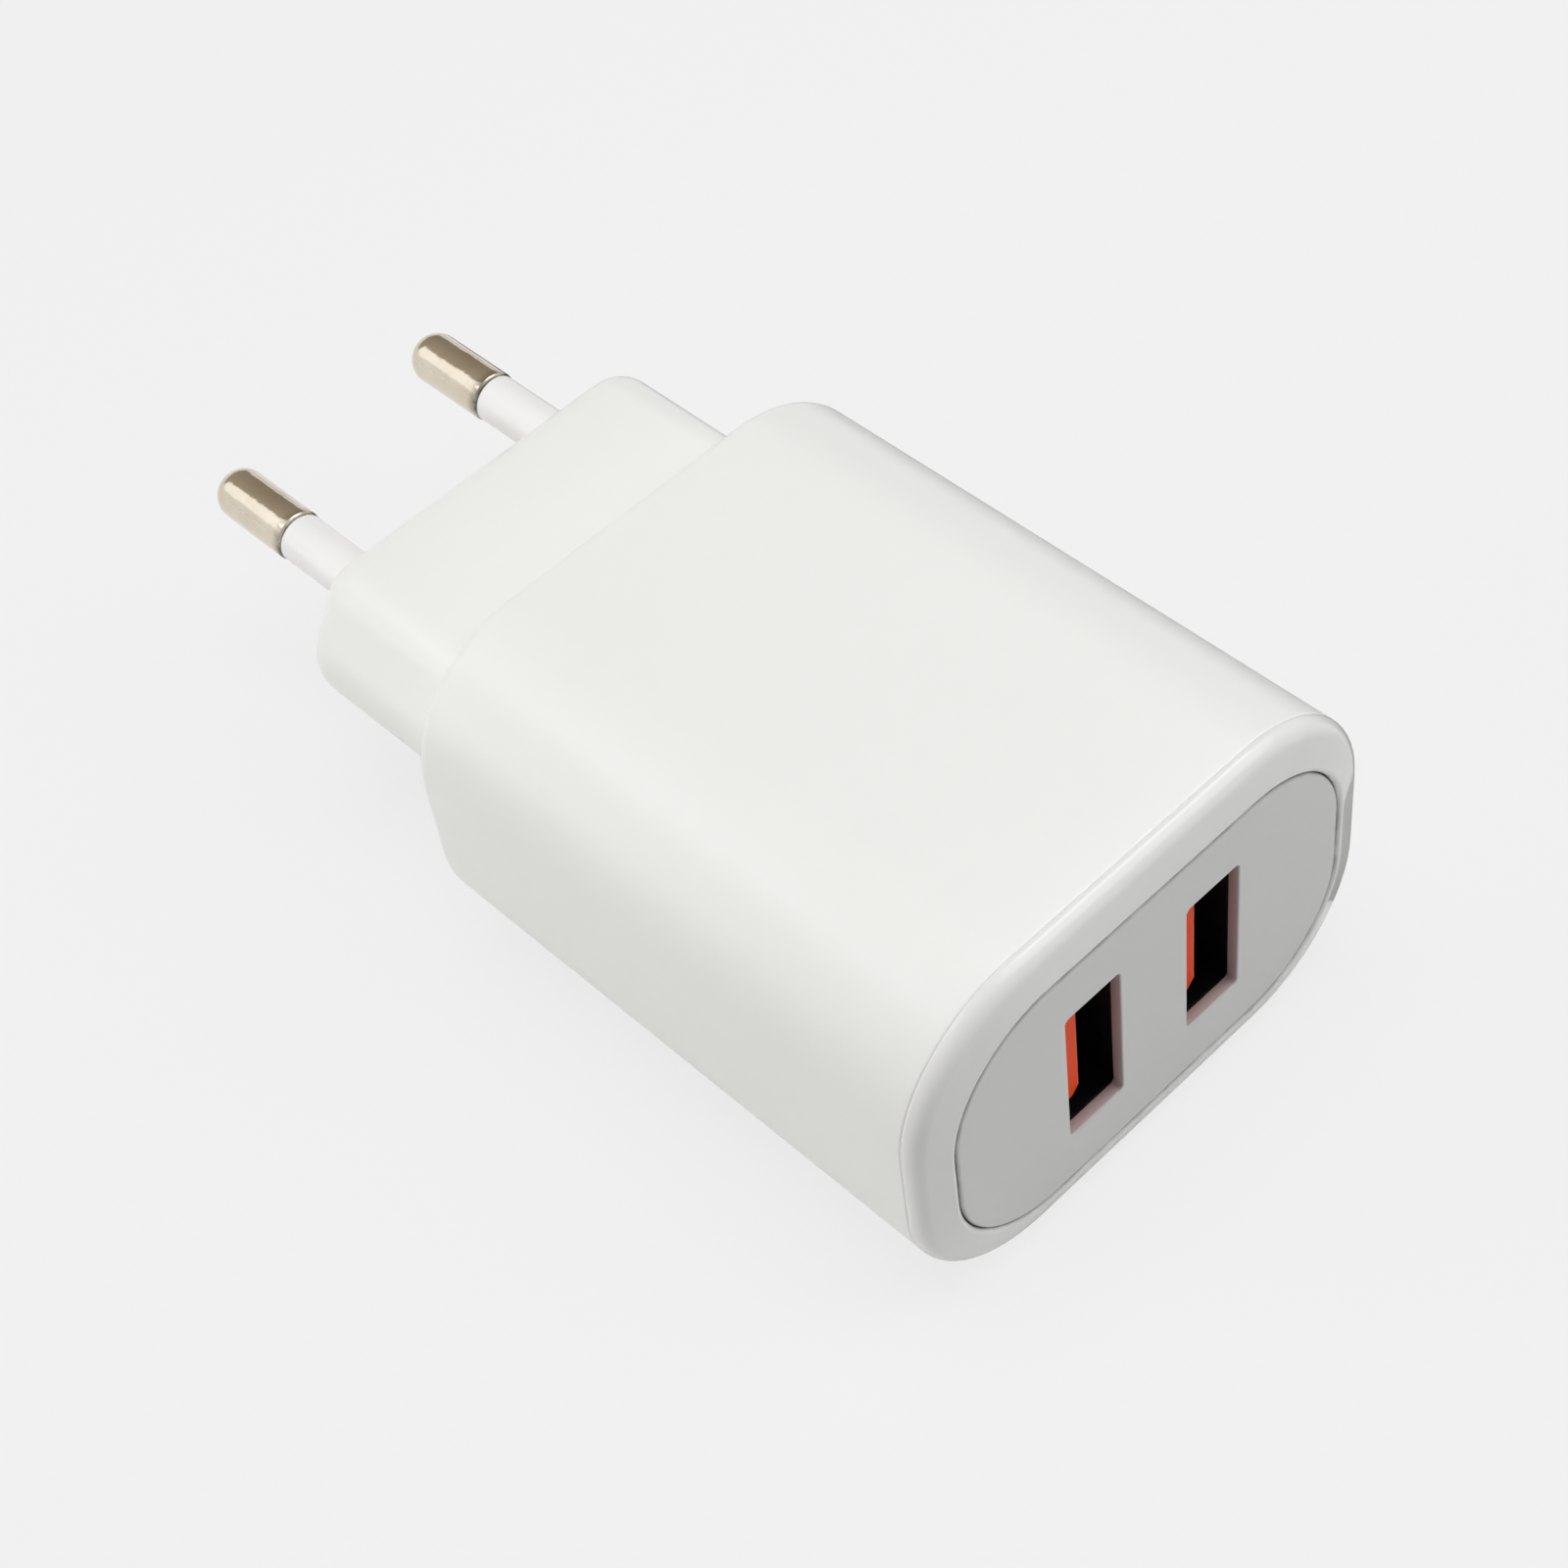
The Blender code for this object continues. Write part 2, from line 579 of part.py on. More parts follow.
def leg_places(side):
    """X of a shell's two legs, which carry its side walls on down."""
    reach = (SHELL_WIDTH - SHELL_WALL) / 2
    return port_x(side) - reach, port_x(side) + reach


def make_usb_tongue(side, parts, cutters):
    """Socket insulator: a base in the back of the shell, and a grooved tongue with its face at mid-port."""
    face = port_x(side)
    back = face - TONGUE_THICKNESS
    top, bottom = MID_Z + TONGUE_HEIGHT / 2, MID_Z - TONGUE_HEIGHT / 2
    outline = [
        Vector((back, bottom)),
        Vector((face - TONGUE_CHAMFER, bottom)),
        Vector((face, bottom + TONGUE_CHAMFER)),
        Vector((face, top - TONGUE_CHAMFER)),
        Vector((face - TONGUE_CHAMFER, top)),
        Vector((back, top)),
    ]
    tongue = prism("usb_tongue_" + side, outline, TONGUE_FRONT, TONGUE_REAR + GROOVE_POCKET, parts)
    inset = SHELL_WALL + GAP
    low = (face - SHELL_WIDTH / 2 + inset, TONGUE_REAR, MID_Z - SHELL_HEIGHT / 2 + inset)
    high = (face + SHELL_WIDTH / 2 - inset, SHELL_REAR - inset, MID_Z + SHELL_HEIGHT / 2 - inset)
    combine(tongue, block("tongue_base_" + side, low, high, cutters), "UNION")
    for number, offset in enumerate(CONTACT_OFFSETS, 1):
        half = CONTACT_WIDTH / 2 + GAP
        low = (face - GROOVE_DEPTH, TONGUE_FRONT + GROOVE_START, MID_Z + offset - half)
        high = (face + GAP, TONGUE_REAR + GROOVE_POCKET, MID_Z + offset + half)
        combine(tongue, block("contact_groove_%s_%d" % (side, number), low, high, cutters), "DIFFERENCE")
    finish(tongue, ORANGE_PLASTIC)


def make_usb_contacts(side, parts):
    """Four sprung strips; each has its origin on the bending axis at its root."""
    root = Vector((-CONTACT_ROOT_DEPTH, TONGUE_REAR))
    groove_end = TONGUE_FRONT + GROOVE_START
    path = [
        Vector((-CONTACT_ROOT_DEPTH, TONGUE_REAR + GROOVE_POCKET - GAP)),
        root,
        Vector((CONTACT_SHOULDER, groove_end + CONTACT_BUMP + CONTACT_TIP_GAP)),
        Vector((CONTACT_RISE, groove_end + CONTACT_BUMP)),
        Vector((CONTACT_SHOULDER, groove_end + CONTACT_BUMP - CONTACT_TIP_GAP)),
        Vector((-CONTACT_THICKNESS, groove_end + CONTACT_TIP_GAP)),
    ]
    outline = strip_outline([point - root for point in path], CONTACT_THICKNESS)
    for number, offset in enumerate(CONTACT_OFFSETS, 1):
        name = "usb_contact_%s_%d" % (side, number)
        contact = prism(name, outline, -CONTACT_WIDTH / 2, CONTACT_WIDTH / 2, parts, plane="XY")
        contact.location = (port_x(side) + root.x, root.y, MID_Z + offset)
        finish(contact, GOLD_PLATE)


def board_half_width():
    """Half the board's width: its lower edges stop a gap short of the housing's rounded inside."""
    inner_radius = BODY_CORNER - WALL
    drop = max(BODY_CORNER - BOARD_BOTTOM, 0.0)
    return BODY_WIDTH / 2 - BODY_CORNER + math.sqrt(inner_radius ** 2 - drop ** 2) - GAP


def make_main_board(parts, cutters):
    """Board on the two rails, slotted for the legs of the shells."""
    half = board_half_width()
    board = block("main_board", (-half, BOARD_FRONT, BOARD_BOTTOM), (half, BOARD_REAR, BOARD_TOP), parts)
    reach_x, reach_y = SHELL_WALL / 2 + GAP, LEG_WIDTH / 2 + GAP
    for side in SIDES:
        for number, leg_x in enumerate(leg_places(side)):
            low = (leg_x - reach_x, SHELL_FRONT + LEG_SETBACK - reach_y, BOARD_BOTTOM - CUT_MARGIN)
            high = (leg_x + reach_x, SHELL_FRONT + LEG_SETBACK + reach_y, BOARD_TOP + CUT_MARGIN)
            combine(board, block("leg_slot_%s_%d" % (side, number), low, high, cutters), "DIFFERENCE")
    finish(board, BOARD_GREEN)


def make_isolation_barrier(parts):
    """Upright sheet across the board behind the sockets."""
    half = (PORT_PITCH + SHELL_WIDTH) / 2
    low = (-half, BARRIER_FRONT, SEAT)
    high = (half, BARRIER_FRONT + BARRIER_THICKNESS, SEAT + BARRIER_HEIGHT)
    finish(block("isolation_barrier", low, high, parts), SHEET_CREAM)


def make_transformer(parts, cutters):
    """Two E-shaped core halves that meet in the middle of a bobbin, and the taped winding round it."""
    window = (CORE_WIDTH - 2 * CORE_SIDE_LEG - CORE_CENTRE_LEG) / 2
    leg = CORE_LENGTH - CORE_BACK
    for side, sign in SIDES.items():
        core = core_half(side, sign, window, leg, parts, cutters)
        finish(core, FERRITE)

    half_length = leg - GAP / 2
    half_flange = CORE_CENTRE_LEG / 2 + window - GAP
    bobbin = block("transformer_bobbin", (-half_length, CORE_MID_Y - half_flange, SEAT),
                   (half_length, CORE_MID_Y + half_flange, SEAT + BOBBIN_HEIGHT), parts)
    tube_y = CORE_CENTRE_LEG / 2 + GAP + BOBBIN_WALL
    tube_z = CORE_THICKNESS / 2 + GAP + BOBBIN_WALL
    half_spool = half_length - BOBBIN_WALL
    waste = winding_ring("bobbin_waist", half_spool, tube_y, tube_z, half_flange + CUT_MARGIN,
                         BOBBIN_HEIGHT / 2 + CUT_MARGIN, cutters, cutters)
    bore_x, bore_y, bore_z = half_length + CUT_MARGIN, tube_y - BOBBIN_WALL, tube_z - BOBBIN_WALL
    bore = block("bobbin_bore", (-bore_x, CORE_MID_Y - bore_y, CORE_MID_Z - bore_z),
                 (bore_x, CORE_MID_Y + bore_y, CORE_MID_Z + bore_z), cutters)
    combine(bobbin, waste, "DIFFERENCE")
    combine(bobbin, bore, "DIFFERENCE")
    finish(bobbin, BOBBIN_BLACK)

    winding = winding_ring("transformer_winding", half_spool - GAP, tube_y + GAP, tube_z + GAP,
                           half_flange - WINDING_MARGIN, BOBBIN_HEIGHT / 2 - WINDING_MARGIN, parts, cutters)
    finish(winding, TAPE_YELLOW)


def core_half(side, sign, window, leg, parts, cutters):
    """One E-shaped half: a slab with two windows cut from its open side."""
    inner = sign * GAP / 2
    outer = sign * (GAP / 2 + CORE_LENGTH)
    half_thickness = CORE_THICKNESS / 2
    low_x, high_x = min(inner, outer), max(inner, outer)
    core = block("transformer_core_" + side,
                 (low_x, CORE_MID_Y - CORE_WIDTH / 2, CORE_MID_Z - half_thickness),
                 (high_x, CORE_MID_Y + CORE_WIDTH / 2, CORE_MID_Z + half_thickness), parts)
    mouth = inner - sign * CUT_MARGIN
    floor = inner + sign * leg
    for number, way in enumerate((-1, 1)):
        near = CORE_MID_Y + way * CORE_CENTRE_LEG / 2
        far = near + way * window
        low = (min(mouth, floor), min(near, far), CORE_MID_Z - half_thickness - CUT_MARGIN)
        high = (max(mouth, floor), max(near, far), CORE_MID_Z + half_thickness + CUT_MARGIN)
        combine(core, block("core_window_%s_%d" % (side, number), low, high, cutters), "DIFFERENCE")
    return core


def winding_ring(name, half_length, inner_y, inner_z, outer_y, outer_z, collection, cutters):
    """Square ring round the middle of the transformer, along X."""
    ring = block(name, (-half_length, CORE_MID_Y - outer_y, CORE_MID_Z - outer_z),
                 (half_length, CORE_MID_Y + outer_y, CORE_MID_Z + outer_z), collection)
    through = half_length + CUT_MARGIN
    hole = block(name + "_hole", (-through, CORE_MID_Y - inner_y, CORE_MID_Z - inner_z),
                 (through, CORE_MID_Y + inner_y, CORE_MID_Z + inner_z), cutters)
    combine(ring, hole, "DIFFERENCE")
    return ring


def make_can(name, radius, height, mid_x, mid_y, look, parts):
    """Electrolytic capacitor that stands on the board."""
    can = cylinder(name, radius, height, (mid_x, mid_y, SEAT + height / 2), parts, edge=CAN_EDGE)
    smooth(can)
    finish(can, look)


def make_capacitors(parts):
    """Mains capacitors beside the transformer and output capacitors beside the sockets."""
    bulk_x = -SIDE_X - BULK_RADIUS
    reach = BULK_RADIUS + PART_SPACING / 2
    make_can("bulk_capacitor_front", BULK_RADIUS, BULK_HEIGHT, bulk_x, CORE_MID_Y - reach, CAN_BLACK, parts)
    make_can("bulk_capacitor_rear", BULK_RADIUS, BULK_HEIGHT, bulk_x, CORE_MID_Y + reach, CAN_BLACK, parts)
    output_x = (PORT_PITCH + SHELL_WIDTH) / 2 + PART_SPACING + OUTPUT_RADIUS
    output_y = BOARD_FRONT + OUTPUT_SETBACK + OUTPUT_RADIUS
    for side, sign in SIDES.items():
        make_can("output_capacitor_" + side, OUTPUT_RADIUS, OUTPUT_HEIGHT, sign * output_x, output_y,
                 CAN_ALUMINIUM, parts)


def make_side_row(parts):
    """Row along the other side of the transformer: disc capacitor, optocoupler and drum inductor."""
    disc_x = SIDE_X + DISC_THICKNESS / 2
    disc_y = BARRIER_FRONT + BARRIER_THICKNESS + PART_SPACING + DISC_RADIUS
    disc = cylinder("safety_capacitor", DISC_RADIUS, DISC_THICKNESS, (disc_x, disc_y, SEAT + DISC_RADIUS),
                    parts, "X", CAN_EDGE)
    smooth(disc)
    finish(disc, DISC_BLUE)
    opto_y = disc_y + DISC_RADIUS + PART_SPACING + OPTO_SIZE.y / 2
    finish(seated_block("optocoupler", SIDE_X + OPTO_SIZE.x / 2, opto_y, OPTO_SIZE, parts), PACKAGE_BLACK)
    inductor_y = opto_y + OPTO_SIZE.y / 2 + PART_SPACING + INDUCTOR_RADIUS
    top = INDUCTOR_HEIGHT
    profile = [
        (0.0, top),
        (INDUCTOR_RADIUS, top),
        (INDUCTOR_RADIUS, top - INDUCTOR_FLANGE),
        (INDUCTOR_WAIST, top - INDUCTOR_FLANGE),
        (INDUCTOR_WAIST, INDUCTOR_FLANGE),
        (INDUCTOR_RADIUS, INDUCTOR_FLANGE),
        (INDUCTOR_RADIUS, 0.0),
        (0.0, 0.0),
    ]
    inductor = turned("input_inductor", profile, parts)
    inductor.location = (SIDE_X + INDUCTOR_RADIUS, inductor_y, SEAT)
    smooth(inductor)
    finish(inductor, FERRITE)


def make_rear_row(parts):
    """Fuse and bridge rectifier between the pin strips."""
    offset = PART_SPACING / 2
    fuse_y = REAR_ROW_Y + FUSE_SIZE.y / 2
    fuse = seated_block("fuse", -offset - FUSE_SIZE.x / 2, fuse_y, FUSE_SIZE, parts)
    finish(fuse, FUSE_BROWN)
    bridge_y = REAR_ROW_Y + BRIDGE_SIZE.y / 2
    bridge = seated_block("bridge_rectifier", offset + BRIDGE_SIZE.x / 2, bridge_y, BRIDGE_SIZE, parts)
    finish(bridge, PACKAGE_BLACK)


def make_flat_packages(parts):
    """Controllers on the underside of the board, in line between the rails."""
    places = {
        "port_controller": SHELL_REAR - FLAT_PACKAGE_LENGTH,
        "synchronous_rectifier": CORE_MID_Y - CORE_WIDTH / 4,
        "switching_controller": CORE_MID_Y + CORE_WIDTH / 4,
    }
    for name, mid_y in places.items():
        finish(hung_block(name, mid_y, parts), PACKAGE_BLACK)


def main():
    """Build every piece of the charger."""
    clear_scene()
    parts = new_collection("usb_wall_charger")
    cutters = new_collection("cutters")
    make_housing(parts, cutters)
    make_front_bezel(parts, cutters)
    make_faceplate(parts, cutters)
    make_plug_block(parts, cutters)
    for side in SIDES:
        make_pin(side, parts)
        make_pin_sleeve(side, parts)
        make_pin_contact(side, parts)
        make_usb_shell(side, parts, cutters)
        make_usb_tongue(side, parts, cutters)
        make_usb_contacts(side, parts)
    make_main_board(parts, cutters)
    make_isolation_barrier(parts)
    make_transformer(parts, cutters)
    make_capacitors(parts)
    make_side_row(parts)
    make_rear_row(parts)
    make_flat_packages(parts)


main()
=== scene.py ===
"""Looks of a wall charger with two upright ports, a rounded plug section and two round pins.

Metres, +Z up; the ports face -Y and the pins +Y. A shape is a grid of points: its columns run
round an outline in X and Z, and its rows follow a profile, which says how far inside that outline
and how far along Y each row lies. Every point also carries a mark, which its finish reads: up to 1
for painted shade with dirt in a groove, for painted shade where a pin meets its sleeve and for a
painted highlight on a tongue's edge, and down to -1 for painted shade inside a port window.
"""
import json

import bpy
import numpy as np
from mathutils import Matrix, Vector


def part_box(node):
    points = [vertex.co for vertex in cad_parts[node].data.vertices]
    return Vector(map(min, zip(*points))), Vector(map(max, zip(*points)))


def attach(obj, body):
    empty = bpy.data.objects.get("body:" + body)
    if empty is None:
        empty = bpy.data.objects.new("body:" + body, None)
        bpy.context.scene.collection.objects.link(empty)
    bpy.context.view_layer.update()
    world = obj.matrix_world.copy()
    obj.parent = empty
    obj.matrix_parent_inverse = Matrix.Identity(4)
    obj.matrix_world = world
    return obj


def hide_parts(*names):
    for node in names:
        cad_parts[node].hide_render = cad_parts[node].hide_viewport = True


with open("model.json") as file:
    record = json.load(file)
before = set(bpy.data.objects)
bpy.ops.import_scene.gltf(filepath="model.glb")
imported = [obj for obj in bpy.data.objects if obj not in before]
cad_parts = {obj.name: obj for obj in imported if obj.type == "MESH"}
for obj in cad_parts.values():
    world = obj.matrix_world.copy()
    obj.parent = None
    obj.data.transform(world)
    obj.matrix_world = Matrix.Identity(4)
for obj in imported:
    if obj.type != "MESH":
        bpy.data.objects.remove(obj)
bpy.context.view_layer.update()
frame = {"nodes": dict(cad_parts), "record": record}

MM = 0.001
WELD = 1e-7
SHARP = np.radians(32)
SIDES = {"left": -1, "right": 1}
CONTACT_NUMBERS = 1, 2, 3, 4


def span(node):
    """Lowest and highest corner of a node of the frame."""
    low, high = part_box(node)
    return np.array(low), np.array(high)


BODY_LOW, BODY_HIGH = span("housing")
RIM_LOW, RIM_HIGH = span("front_bezel")
PLATE_LOW, PLATE_HIGH = span("faceplate")
PLUG_LOW, PLUG_HIGH = span("plug_block")
FLOOR_Z = RIM_LOW[2]
FRONT = RIM_LOW[1]
BODY_REAR = BODY_HIGH[1]
NOSE = PLUG_HIGH[1]
MID_Z = (BODY_LOW[2] + BODY_HIGH[2]) / 2
PLATE_REAR = PLATE_HIGH[1]

# Fits and steps that several pieces share
FIT = 0.3 * MM
WALL = 2.0 * MM
SMALL_EDGE = 0.15 * MM
ARC_STEPS = 20
SIDE_STEPS = 28
TURN_STEPS = 72
EDGE_STEPS = 6
FACE_STEPS = 6
FACE_MARGIN = 0.04
BAR_STEPS = 4
BAR_DRAW = 0.9

# Body shell and the rim round its front
BODY_CORNER = 10.2 * MM
BODY_EDGE = 1.2 * MM
BODY_EDGE_STEPS = 14
BODY_ROWS = 12
OPENING_STEPS = 4
RAIL_SPACING = 20.0 * MM
RAIL_WIDTH = 1.5 * MM
RAIL_EDGE = 0.2 * MM
SEAM = 0.01 * MM
SEAM_ROUND = 0.3 * MM
SEAM_TURN = 40
RIM_DEPTH = BODY_LOW[1] - FIT - FRONT
RIM_WIDTH = PLATE_LOW[0] - FIT - RIM_LOW[0]
RIM_ROUND = 1.25 * MM
RIM_TURN = 72
RIM_STEPS = 20
RIM_FACE_STEPS = 3
RIM_LIP = 0.35 * MM
LIP_STEPS = 5
# Where the rim's lip turns down into the groove, its mark rises: painted shade with dirt in the
# groove
GROOVE_SHADE_AND_GRIME_TURN = 105
GROOVE_SHADE_AND_GRIME_STEPS = 7
LEDGE_WIDTH = 1.1 * MM

# Faceplate and its port windows
PLATE_FACE = FRONT + 0.06 * MM
PLATE_CORNER = 8.4 * MM
PLATE_GROOVE = 0.06 * MM
PLATE_EDGE = 0.25 * MM
WINDOW = np.array((4.9, 12.3)) * MM
WINDOW_CORNER = 0.4 * MM
WINDOW_EDGE = 0.12 * MM
WINDOW_LIP = 0.85 * MM
# Marks of painted shade inside a port window: at its outer edge, and on its inner wall
OUTER_WINDOW_SHADE, INNER_WINDOW_SHADE = -0.5, -1.0
BOARD_TOP = span("main_board")[1][2] + FIT

# Plug section
PLUG_FLAT = 27.1 * MM
PLUG_SIDE_CORNER = 4.0 * MM
PLUG_FLAT_CORNER = 3.2 * MM
PLUG_WALL = 2.0 * MM
PLUG_SEAM = 0.12 * MM
PLUG_ROWS = 8
FLANGE_LAP = 1.2 * MM
FLANGE_REAR = BODY_REAR - WALL - FIT
NOSE_EDGE = 3.0 * MM
NOSE_STEPS = 20
NOSE_WALL = 3.0 * MM
BORE_STEPS = 5

# Pins and their sleeves
SLEEVE_RADIUS = 1.9 * MM
SLEEVE_FIT = 0.05 * MM
SLEEVE_EDGE = 0.18 * MM
PIN_CORE = 1.2 * MM
PIN_DOME = 1.8 * MM
PIN_DOME_STEPS = 18
PIN_EDGE = 0.25 * MM
PIN_HEAD = 1.5 * MM
# Painted shade where a pin meets its sleeve: how far from the sleeve it starts to fade in, and its
# mark where the shoulder starts
PIN_JOINT_SHADE_LENGTH = 0.9 * MM
PIN_JOINT_SHADE_START = 0.6
COLLAR_RADIUS = 2.8 * MM
COLLAR_LENGTH = 1.2 * MM

# Port shells
SHELL_WALL = 0.3 * MM
SHELL_CORNER = 0.35 * MM
SHELL_MOUTH = PLATE_FACE + WINDOW_LIP + 0.05 * MM
SHELL_ROWS = 60
MOUTH_STEPS = 8
BROAD_NORMAL = 0.99
SPRING_HEIGHT = 0.25 * MM
SPRING_LENGTH = 2.2 * MM
SPRING_SPREAD = 1.1 * MM
SPRING_OFFSET = 3.0 * MM
SPRING_DEPTH = 4.0 * MM
LEG_WIDTH = 2.0 * MM
LEG_SETBACK = 8.0 * MM
LEG_EDGE = 0.1 * MM

# Tongues and their contacts
TONGUE_TIP = PLATE_FACE + 1.45 * MM
TONGUE_THICKNESS = 1.84 * MM
TONGUE_HEIGHT = 10.2 * MM
TONGUE_CHAMFER = 0.7 * MM
TONGUE_EDGE = 0.2 * MM
GROOVE_DEPTH = 0.95 * MM
GROOVE_START = 0.8 * MM
BASE_EDGE = 0.3 * MM
CONTACT_THICKNESS = 0.2 * MM
CONTACT_BEND = 0.075 * MM
CONTACT_RISE = 0.159
CONTACT_FALL = 0.467
CONTACT_SHOULDER = 0.36 * MM
CONTACT_CREST = 3.0 * MM
CONTACT_HALF_CREST = 0.6 * MM
CONTACT_ROWS = 60
CONTACT_EDGE = 0.07 * MM


def arc_path(centres, radii, starts, ends):
    """Outline as points and outward normals in X and Z: four corner arcs joined by straight sides.

    An arc point is its centre plus its radius times (cos a, sin a) for angles a from start to end,
    in degrees; a side point lies evenly between the end of one arc and the start of the next.
    """
    turn = np.linspace(0, 1, ARC_STEPS + 1)
    starts, ends = np.array(starts, float)[:, None], np.array(ends, float)[:, None]
    angles = np.radians(starts + (ends - starts) * turn)
    normals = np.stack([np.cos(angles), np.sin(angles)], axis=-1)
    arcs = np.array(centres)[:, None] + np.array(radii)[:, None, None] * normals
    share = np.linspace(0, 1, SIDE_STEPS + 1)[1:-1, None]
    sides = arcs[:, -1:] * (1 - share) + np.roll(arcs, -1, axis=0)[:, :1] * share
    side_normals = np.repeat(normals[:, -1:], SIDE_STEPS - 1, axis=1)
    points = np.concatenate([arcs, sides], axis=1)
    return points, np.concatenate([normals, side_normals], axis=1)


def frame_path(low, high, radii):
    """Rounded rectangle: a corner arc turns a quarter about a centre one radius from its sides."""
    radii = np.array(radii) * np.ones(4)
    x = np.array([low[0], high[0], high[0], low[0]]) + radii * (1, -1, -1, 1)
    z = np.array([low[1], low[1], high[1], high[1]]) + radii * (1, 1, -1, -1)
    points, normals = arc_path(np.stack([x, z], axis=-1), radii,
                               (180, 270, 0, 90), (270, 360, 90, 180))
    return points.reshape(-1, 2), normals.reshape(-1, 2)


def plug_path(half):
    """Outline of the plug section: two flats, and sides whose straight flanks meet in a round.

    A flank is the tangent from the end of a flat to the side round, so its slope is the angle to
    that end less arccos(radius / distance). Along a side the normal's angle grows with the length
    past the first flank, and the point is the round's centre plus radius times normal plus the
    rest of the length times the tangent. The right half alone starts and ends on the line x = 0,
    where normals point up or down the line.
    """
    half_width = PLUG_HIGH[0] - FLANGE_LAP
    half_height = PLUG_HIGH[2] - MID_Z - FLANGE_LAP
    hub = half_width - PLUG_SIDE_CORNER
    corner = np.array((PLUG_FLAT / 2, half_height))
    reach = corner - (hub, 0)
    slope = np.arctan2(reach[1], reach[0]) - np.arccos(PLUG_SIDE_CORNER / np.hypot(*reach))
    flank_normal = np.array((np.cos(slope), np.sin(slope)))
    centre = corner - PLUG_FLAT_CORNER * (flank_normal + (0, 1)) / (1 + flank_normal[1])
    bend = np.degrees(slope)
    radii = np.full(4, PLUG_FLAT_CORNER)
    centres = centre * np.array([(-1, -1), (1, -1), (1, 1), (-1, 1)])
    starts = np.array((180 + bend, 270, bend, 90))
    ends = np.array((270, 360 - bend, 90, 180 - bend))
    if half:
        radii[[0, 3]] = 0
        centres[[0, 3]] = (0, -half_height), (0, half_height)
        starts[0], ends[3] = 180, 180
    points, normals = arc_path(centres, radii, starts, ends)
    flank = np.linalg.norm(centre + PLUG_FLAT_CORNER * flank_normal
                           - (hub, 0) - PLUG_SIDE_CORNER * flank_normal)
    turn_length = 2 * slope * PLUG_SIDE_CORNER
    run = np.linspace(0, 2 * flank + turn_length, SIDE_STEPS + 1)[1:-1]
    angle = np.clip(run - flank, 0, turn_length) / PLUG_SIDE_CORNER - slope
    rest = np.minimum(run - flank, 0) + np.maximum(run - flank - turn_length, 0)
    normal = np.stack([np.cos(angle), np.sin(angle)], axis=-1)
    tangent = np.stack([-np.sin(angle), np.cos(angle)], axis=-1)
    side = (hub, 0) + PLUG_SIDE_CORNER * normal + rest[:, None] * tangent
    points[1, ARC_STEPS + 1:], normals[1, ARC_STEPS + 1:] = side, normal
    if not half:
        points[3, ARC_STEPS + 1:], normals[3, ARC_STEPS + 1:] = -side, -normal
    points, normals = points.reshape(-1, 2), normals.reshape(-1, 2)
    if half:
        normals = halve(points, normals, half_height)
    return points + (0, MID_Z), normals


def halve(points, normals, half_height):
    """Normals of a right half: on its line x = 0 they run along it in proportion to the height."""
    on_line = np.abs(points[:, :1]) < WELD
    along = np.stack([0 * points[:, 1], points[:, 1] / half_height], axis=-1)
    return np.where(on_line, along, normals)


def grid(x, y, z, mark=0.0):
    """Rows of points with their mark, from values that spread over the rows and columns."""
    return np.stack(np.broadcast_arrays(x, y, z, mark), axis=-1)


def arc(inset, depth, radii, start, end, steps, mark=(0.0, 0.0)):
    """Part of an ellipse: inset less across times cos a, depth plus along times sin a.

    The marks run evenly from the first to the last.
    """
    across, along = np.array(radii) * np.ones(2)
    angles = np.radians(np.linspace(start, end, steps + 1))
    return np.stack([inset - across * np.cos(angles), depth + along * np.sin(angles),
                     np.linspace(*mark, steps + 1)], axis=-1)


def line(*stops, mark=0.0):
    """Straight profile through stops of inset and depth, with one mark."""
    return np.array([(*stop, mark) for stop in stops])


def sweep(path, *profiles):
    """Rows of an outline: its points less the profile's inset times its normals, at its depth."""
    points, normals = path
    profile = np.concatenate(profiles)
    flat = points - profile[:, :1, None] * normals
    return grid(flat[..., 0], profile[:, 1:2], flat[..., 1], profile[:, 2:])


def bridge(first, last, steps=FACE_STEPS):
    """Rows between two rows: the weighted mean of both.

    A row close to each end keeps the face flat.
    """
    inner = np.linspace(0, 1, steps + 1)[1:-1]
    share = np.concatenate([[FACE_MARGIN], inner, [1 - FACE_MARGIN]])[:, None, None]
    return first * (1 - share) + last * share


def stations(first, last, steps):
    """Rows evenly spaced between two rows."""
    share = np.linspace(0, 1, steps + 1)[1:-1, None, None]
    return first * (1 - share) + last * share


def pole(row):
    """Row that draws a closed outline together at its mean point."""
    return np.repeat(row[-1:].mean(axis=1, keepdims=True), row.shape[1], axis=1)


def skin(rows, loop=True, open_rows=None, seam=None):
    """Points and quads of a grid whose columns run round.

    Rows join up too in a loop. The first open_rows rows have no quads between seam columns.
    """
    rows = np.concatenate(rows)
    count, columns = rows.shape[:2]
    row = np.arange(count if loop else count - 1)[:, None]
    column = np.arange(columns)[None]
    row_next, column_next = (row + 1) % count, (column + 1) % columns
    faces = np.stack([row * columns + column, row * columns + column_next,
                      row_next * columns + column_next, row_next * columns + column], axis=-1)
    keep = np.ones(faces.shape[:2], bool)
    if seam is not None:
        keep &= ~((row < open_rows - 1) & (seam & np.roll(seam, -1))[None])
    return rows.reshape(-1, 4), faces[keep]


def capped(rows):
    """Closed surface of rows that are drawn together before the first and after the last."""
    return skin([pole(rows[:1]), rows, pole(rows[-1:])], loop=False)


def mirrored(part):
    """The same surface on the other side of x = 0, with its quads turned round."""
    points, faces = part
    return points * (-1, 1, 1, 1), faces[:, ::-1]


